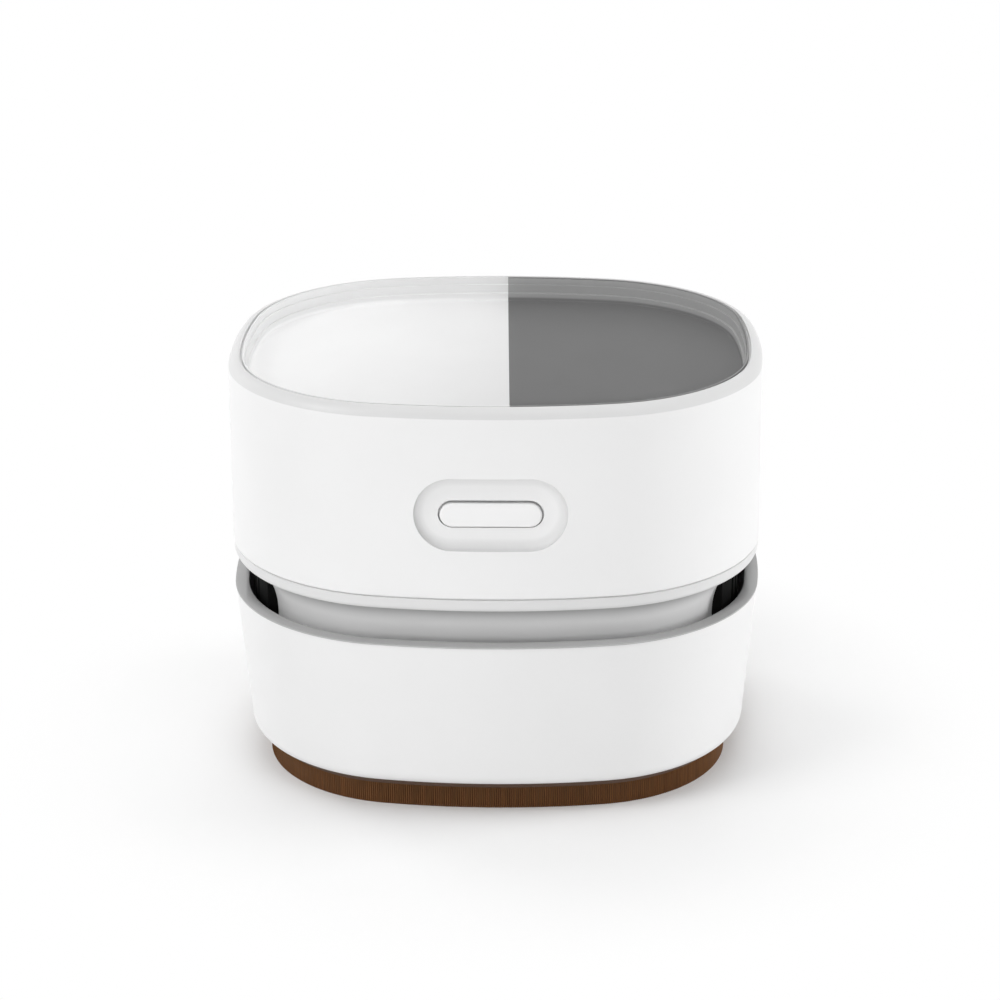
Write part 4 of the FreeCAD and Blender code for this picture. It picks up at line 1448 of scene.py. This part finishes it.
    def button(self) -> None:
        """The power button: a rounded pill on a hidden flange."""
        face = self.front + self.wall_inset(self.dish_height) + self.button_sink
        low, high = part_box("power_button")
        seat = high[1] - self.flange_depth
        middle = Vector((0, seat, self.button_height - self.button_sag))
        bench = pill("button_cap", *self.button_size, middle, Vector((0, face - seat, 0)), 24)
        bench.pick(lambda p: abs(p.y - face) < WELD, "EDGE").bevel(self.button_round, 5)
        self.shop.fit(bench.done(), "power_button", "button_plastic", "power_button")
        middle.z = self.button_height
        flange = pill("button_flange", high[0] - low[0], high[2] - low[2], middle,
                      Vector((0, self.flange_depth, 0)))
        flange.pick(lambda p: p.y > seat + self.flange_depth / 2, "EDGE").bevel(self.flange_round, 3)
        self.shop.fit(flange.done(), "power_button", "button_plastic")


# ================================================================ fasteners
@dataclass(frozen=True)
class ScrewSet:
    """Pan-head screws with a cross recess that stand at the corners of their CAD node's box.

    Args:
        shop: the frame, the outline and the finishes.
        node: the CAD node.
        body: the body that the screws ride on.
        grows: 1 where the shafts point up, -1 where they point down.
        rows: rows of screws along Y.
        radius: radius of the head.
        head: height of the head.
        shaft: radius of the shaft.
        crown: height of the head's domed part.
        dome: the dome's upper and lower radius as shares of the head's.
        cross: length and width of the recess as shares of the head's radius.
        sunk: depth of the recess as a share of the head's height, counted on both sides of its top.
        steps: segments round the screw.
    """

    shop: Workshop
    node: str
    body: str
    grows: int = 1
    rows: int = 2
    radius: float = 2.2 * MM
    head: float = 1.3 * MM
    shaft: float = 1.25 * MM
    crown: float = 0.35 * MM
    dome: tuple = (0.75, 0.95)
    cross: tuple = (1.35, 0.32)
    sunk: float = 1.3
    steps: int = 28

    def build(self) -> None:
        """Models one screw and sets copies of it in their places."""
        low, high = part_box(self.node)
        face = low[2] if self.grows > 0 else high[2]
        tip = high[2] if self.grows > 0 else low[2]
        seat = face + self.grows * self.head
        crown = face + self.grows * self.crown
        top, edge = (share * self.radius for share in self.dome)
        bench = Bench("screw", (0, 0, face))
        for radius, z in ((top, face), (edge, crown), (self.radius, seat), (self.shaft, seat),
                          (self.shaft, tip)):
            bench.draw((radius, 0, z))
        bench.draw((0, 0, tip)).everything()
        screw = bench.turn((0, 0, face), Z_AXIS, math.tau, self.steps).weld().done()
        for turn in (0, math.pi / 2):
            bpy.ops.object.select_all(action="DESELECT")
            bpy.ops.mesh.primitive_cube_add(size=1, location=(0, 0, face), rotation=(0, 0, turn))
            slot = bpy.context.active_object
            slot.scale = (*(share * self.radius for share in self.cross), self.sunk * self.head)
            bpy.ops.object.transform_apply(location=True, rotation=True, scale=True)
            carve(screw, slot)
        xs = (low[0] + self.radius, high[0] - self.radius)
        ys = (low[1] + self.radius, high[1] - self.radius) if self.rows > 1 else ((low[1] + high[1]) / 2,)
        self.place(screw, [(x, y) for x in xs for y in ys])

    def place(self, screw: bpy.types.Object, places: list[tuple[float, float]]) -> None:
        """Copies the screw to its places, joins the copies and fits them.

        Args:
            screw: the screw, on the Z axis.
            places: the screws' axes.
        """
        copies = []
        for x, y in places:
            only(screw)
            bpy.ops.object.duplicate()
            copy = bpy.context.active_object
            copy.location = (x, y, 0)
            copies.append(copy)
        bpy.data.objects.remove(screw, do_unlink=True)
        for copy in copies:
            copy.select_set(True)
        bpy.ops.object.join()
        piece = bpy.context.active_object
        piece.name = "cross_" + self.node
        settle(piece)
        self.shop.fit(piece, self.body, "steel", self.node)


# ================================================================ dust cup
@dataclass
class DustCup:
    """The dust cup: skirt, liner, inlet, sole, brush and feet."""

    shop: Workshop
    wall: float = 1.2 * MM
    top_inset: float = 0.12 * MM
    foot_inset: float = 2.05 * MM
    edge_inset: float = 3.6 * MM
    edge_rise: float = 2.4 * MM
    edge_bulge: float = 0.45 * MM
    flange_width: float = 3.6 * MM
    rim_round: float = 0.1 * MM
    foot_round: tuple = (0.6 * MM, 0.1 * MM, 0.15 * MM)
    pitch: float = 4 * MM
    brush_width: float = 3.2 * MM
    brush_margin: float = 0.5 * MM
    brush_rows: int = 5
    brush_stagger: float = 0.37

    def build(self) -> None:
        """Models and dresses every piece."""
        low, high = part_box("skirt_shell")
        self.bottom, self.edge = low[2], high[2]
        self.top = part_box("cup_liner")[1][2]
        self.skirt()
        shop = self.shop
        for node, name, width, finish in (
            ("cup_liner", "cup", 0.12, "cup_plastic"),
            ("intake_duct", "inlet_chimney", 0.15, "cup_plastic"),
            ("sole_plate", "sole", 0.12, "brown_plastic"),
            ("brush_carrier", "brush_base", 0.12, "brown_plastic"),
            ("glide_feet", "gliders", 0.1, "foot_plastic"),
        ):
            shop.fit(refined(shop.nodes[node], name, width * MM), "dust_cup", finish, node)
        ScrewSet(shop, "sole_screws", "dust_cup").build()
        self.bristles()

    def skirt_inset(self, z: float) -> float:
        """The skirt's outer inset at a height."""
        slope = (self.foot_inset - self.top_inset) / (self.top - self.bottom - self.edge_rise)
        return self.top_inset + slope * (self.top - z)

    def skirt(self) -> None:
        """The white skirt with its rounded foot."""
        foot = self.bottom + self.edge_rise
        inner = self.edge_inset + self.wall
        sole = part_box("sole_plate")[1][2]
        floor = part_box("cup_liner")[0][2]
        start, end = (self.skirt_inset(foot), foot), (self.edge_inset, self.bottom)
        above, outside, inside = self.foot_round
        profile = rounded([
            Knot(self.skirt_inset(self.edge), self.edge, self.rim_round),
            Knot(*start, above),
            *bow(start, end, -self.edge_bulge),
            Knot(*end, outside),
            Knot(inner, self.bottom, inside),
            Knot(inner, sole),
            Knot(inner + self.flange_width, sole),
            Knot(inner + self.flange_width, floor),
            Knot(self.skirt_inset(floor) + self.wall, floor),
            Knot(self.skirt_inset(self.edge) + self.wall, self.edge),
        ])
        skirt = self.shop.lathe.sweep("skirt", Head.lined(profile, self.pitch)).done()
        self.shop.fit(skirt, "dust_cup", "white_plastic", "skirt_shell")

    def bristles(self) -> None:
        """The brush: dense rows of fine bristles round a dark core."""
        low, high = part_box("bristle_ring")
        outer = self.shop.lathe.oval.half_width - high[0]
        tips = low[2] + self.brush_margin
        sides = outer + self.brush_margin, outer + self.brush_width - self.brush_margin
        core = [(sides[0], tips), (sides[0], high[2]), (sides[1], high[2]), (sides[1], tips)]
        ring = self.shop.lathe.sweep("bristle_core", core).done()
        self.shop.fit(ring, "dust_cup", "bristle_nylon", "bristle_ring")
        bristle = Bristle(self.shop.lathe.oval, high[2] - low[2])
        spread = self.brush_width - 2 * bristle.radius
        for row in range(self.brush_rows):
            inset = outer + bristle.radius + spread * row / (self.brush_rows - 1)
            piece = bristle.row("bristle_row_%d" % (row + 1), inset, row * self.brush_stagger)
            self.shop.fit(piece, "dust_cup", "bristle_nylon")


@dataclass(frozen=True)
class Bristle:
    """A tapered bristle that stands in rows round the outline.

    Args:
        oval: the outline.
        length: its length.
        radius: its radius at the desk.
        root: its radius where it is held.
        pitch: distance between neighbours in a row.
        sides: sides of its cross-section.
    """

    oval: Oval
    length: float
    radius: float = 0.19 * MM
    root: float = 0.16 * MM
    pitch: float = 0.36 * MM
    sides: int = 5

    def row(self, name: str, inset: float, phase: float) -> bpy.types.Object:
        """One row of bristles.

        Args:
            name: the row's name.
            inset: where the row stands.
            phase: shift along the row in bristles.

        Returns:
            The row.
        """
        arcs = self.oval.arcs()
        x, y = self.oval.point(inset, arcs[0].first + phase * self.pitch / arcs[0].radius)
        bpy.ops.object.select_all(action="DESELECT")
        bpy.ops.mesh.primitive_cone_add(vertices=self.sides, radius1=self.radius, radius2=self.root,
                                        depth=self.length, location=(x, y, self.length / 2),
                                        end_fill_type="NGON")
        obj = bpy.context.active_object
        obj.name = name
        bpy.ops.object.mode_set(mode="EDIT")
        bpy.ops.mesh.select_all(action="SELECT")
        for arc in arcs:
            turn = arc.last - arc.first
            steps = max(1, round(turn * (arc.radius - inset) / self.pitch))
            bpy.ops.mesh.spin(steps=steps, dupli=True, angle=-turn, center=(arc.x, arc.y, 0), axis=Z_AXIS)
        bpy.ops.object.mode_set(mode="OBJECT")
        settle(obj)
        return obj


# ================================================================ filter, fan and what the housing hides
@dataclass
class Filter:
    """The lift-out filter."""

    shop: Workshop
    edge: float = 0.12 * MM

    def build(self) -> None:
        """Models and dresses the frame and the pleats."""
        frame = refined(self.shop.nodes["filter_frame"], "filter_basket", self.edge)
        self.shop.fit(frame, "filter", "black_plastic", "filter_frame")
        self.shop.dress("filter_paper", "filter_media")


@dataclass
class Works:
    """The waist's floor, the grilles, the fan, the motor, the cell and the boards."""

    shop: Workshop
    edge: float = 0.1 * MM

    def build(self) -> None:
        """Dresses the CAD nodes that stay and refines those that show through the waist."""
        shop = self.shop
        for node, name in (("exhaust_grille_left", "louvres_left"), ("exhaust_grille_right", "louvres_right"),
                           ("fan_housing", "waist_floor")):
            shop.fit(refined(shop.nodes[node], name, self.edge), "main_body", "window_black", node)
        wheel = refined(shop.nodes["impeller"], "fan_wheel", 0.0)
        shop.fit(wheel, "fan_rotor", "impeller_plastic", "impeller")
        ScrewSet(shop, "fan_screws", "main_body").build()
        ScrewSet(shop, "housing_screws", "main_body").build()
        ScrewSet(shop, "motor_screws", "main_body", grows=-1, rows=1).build()
        shop.dress("steel", "motor_can", "usb_socket", "motor_shaft")
        shop.dress("black_plastic", "motor_end_cap", "motor_mount", "tact_switch", "switch_plunger")
        shop.dress("brass", "motor_terminals")
        shop.dress("seal_rubber", "motor_damper", "cup_seal")
        shop.dress("cell_wrap", "battery_cell")
        shop.dress("cup_plastic", "battery_saddles")
        shop.dress("board", "control_board", "charge_board")
        shop.dress("clear_rod", "charge_light_pipe")


# ================================================================ studio
@dataclass(frozen=True)
class Softbox:
    """A rectangular lamp that looks at the cleaner.

    Args:
        name: the lamp's name.
        azimuth: its direction seen from above, in degrees from the front towards the right.
        elevation: its height angle in degrees.
        distance: its distance.
        size: its width and height.
        power: its power in watts.
        mirrored: whether glossy surfaces show it.
    """

    name: str
    azimuth: float
    elevation: float
    distance: float
    size: tuple
    power: float
    mirrored: bool = True

    def place(self, target: Vector) -> None:
        """Hangs the lamp and turns it to the target.

        Args:
            target: what the lamp looks at.
        """
        data = bpy.data.lights.new(self.name, "AREA")
        data.shape = "RECTANGLE"
        data.size, data.size_y = self.size
        data.energy = self.power
        lamp = bpy.data.objects.new(self.name, data)
        lamp.visible_glossy = self.mirrored
        bpy.context.scene.collection.objects.link(lamp)
        turn, tilt = math.radians(self.azimuth), math.radians(self.elevation)
        away = Vector((math.sin(turn) * math.cos(tilt), -math.cos(turn) * math.cos(tilt), math.sin(tilt)))
        lamp.matrix_world = Matrix.Translation(target + away * self.distance) @ away.to_track_quat(
            "Z", "Y").to_matrix().to_4x4()


def shown(nodes: Nodes) -> bpy.types.NodeSocket:
    """Tells what is seen from what gives light.

    Args:
        nodes: the wiring of the world or of a material.

    Returns:
        A socket that is 1 for the camera, for reflections and behind clear pieces, and 0 for light.
    """
    path = nodes.add("LightPath").outputs
    seen = nodes.math("MAXIMUM", path["Is Camera Ray"], path["Is Glossy Ray"])
    return nodes.math("MAXIMUM", seen, path["Is Transmission Ray"])


@dataclass
class Studio:
    """The pale floor, the soft light and the camera."""

    lens: float = 93.73
    sensor: float = 36.0
    sight: tuple = (0.01, 20.0)
    distance: float = 450 * MM
    elevation: float = math.radians(20.44)
    yaw: float = math.radians(1.5)
    roll: float = math.radians(-0.323)
    target: tuple = (0.458 * MM, 0.0, 41.43 * MM)
    softboxes: tuple = (
        Softbox("front_softbox", -8, 12, 0.9, (0.35, 0.35), 2.13, mirrored=False),
        Softbox("key_softbox", -60, 42, 0.9, (0.35, 0.35), 2.07),
        Softbox("fill_softbox", 30, 42, 0.9, (0.35, 0.35), 0.42),
        Softbox("left_edge", -130, 12, 0.9, (0.35, 0.35), 3.1, mirrored=False),
        Softbox("right_edge", 100, 12, 0.9, (0.35, 0.35), 4.1, mirrored=False),
        Softbox("top_softbox", 0, 88, 1.0, (0.8, 0.8), 2.65),
        Softbox("rear_softbox", 180, 50, 0.9, (0.5, 0.5), 1.15),
    )
    world_light: float = 0.21
    floor_size: float = 6.0
    floor_sink: float = 0.02 * MM
    floor_grey: float = 244
    floor_clouds: tuple = (3.0, 0.004)
    floor_roughness: float = 0.75
    floor_specular: float = 0.2
    floor_glow: float = 0.06
    shadow_reach: tuple = (46 * MM, 90 * MM)

    def build(self) -> None:
        """Sets up the camera, the lamps, the world and the floor."""
        scene = bpy.context.scene
        scene.view_settings.view_transform = "Standard"
        self.camera()
        for box in self.softboxes:
            box.place(Vector(self.target))
        self.world()
        self.floor()

    def camera(self) -> None:
        """Places the camera."""
        scene = bpy.context.scene
        data = bpy.data.cameras.new("camera")
        data.lens = self.lens
        data.sensor_width = self.sensor
        data.clip_start, data.clip_end = self.sight
        camera = bpy.data.objects.new("camera", data)
        scene.collection.objects.link(camera)
        rise, spin = self.elevation, Matrix.Rotation(self.yaw, 3, "Z")
        back = spin @ Vector((0, -math.cos(rise), math.sin(rise)))
        up = spin @ Vector((0, math.sin(rise), math.cos(rise)))
        right = up.cross(back)
        basis = Matrix((right, up, back)).transposed() @ Matrix.Rotation(self.roll, 3, "Z")
        camera.matrix_world = Matrix.Translation(Vector(self.target) + back * self.distance) @ basis.to_4x4()
        scene.camera = camera

    def world(self) -> None:
        """A white world for the camera and for reflections, and a softer one as a light."""
        world = bpy.data.worlds.new("studio")
        bpy.context.scene.world = world
        world.use_nodes = True
        nodes = Nodes(world.node_tree)
        strength = nodes.add("MapRange", {"Value": shown(nodes), "To Min": self.world_light, "To Max": 1.0})
        light = nodes.add("Background", {"Color": WHITE, "Strength": strength.outputs[0]})
        nodes.add("OutputWorld", {"Surface": light.outputs[0]})

    def floor(self) -> None:
        """The pale floor, which keeps the cleaner's shadow and turns white away from it."""
        bpy.ops.object.select_all(action="DESELECT")
        bpy.ops.mesh.primitive_plane_add(size=self.floor_size, location=(0, 0, -self.floor_sink))
        floor = bpy.context.active_object
        floor.name = "studio_floor"
        material, nodes = new_material("studio_floor")
        cloud, depth = self.floor_clouds
        surface = nodes.add("Group", {"Color": shade(self.floor_grey), "Cloud": cloud, "Shade": depth},
                            node_tree=shared("moulded_surface", moulded_group)).outputs
        seen = shown(nodes)
        far = nodes.ramp(nodes.length(nodes.place()), *self.shadow_reach, "SMOOTHSTEP")
        skin = nodes.add("BsdfPrincipled", {
            "Base Color": surface["Color"], "Roughness": self.floor_roughness,
            "Specular IOR Level": self.floor_specular, "Emission Color": WHITE,
            "Emission Strength": nodes.math("MULTIPLY", seen, self.floor_glow),
        })
        white = nodes.add("Emission", {"Color": WHITE, "Strength": 1.0})
        share = nodes.math("MULTIPLY", far, seen)
        both = nodes.add("MixShader", {0: share, 1: skin.outputs[0], 2: white.outputs[0]})
        nodes.add("OutputMaterial", {"Surface": both.outputs[0]})
        floor.data.materials.append(material)


def main() -> None:
    """Builds the cleaner and its studio in order."""
    logging.basicConfig(level=logging.INFO, format="%(message)s")
    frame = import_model()
    shop = Workshop(frame)
    Head(shop).build()
    DustCup(shop).build()
    Filter(shop).build()
    Works(shop).build()
    Studio().build()
    left = sorted(set(shop.nodes) - shop.kept)
    log.info("nodes without a finish: %s", left or "none")


if __name__ == "__main__":
    main()
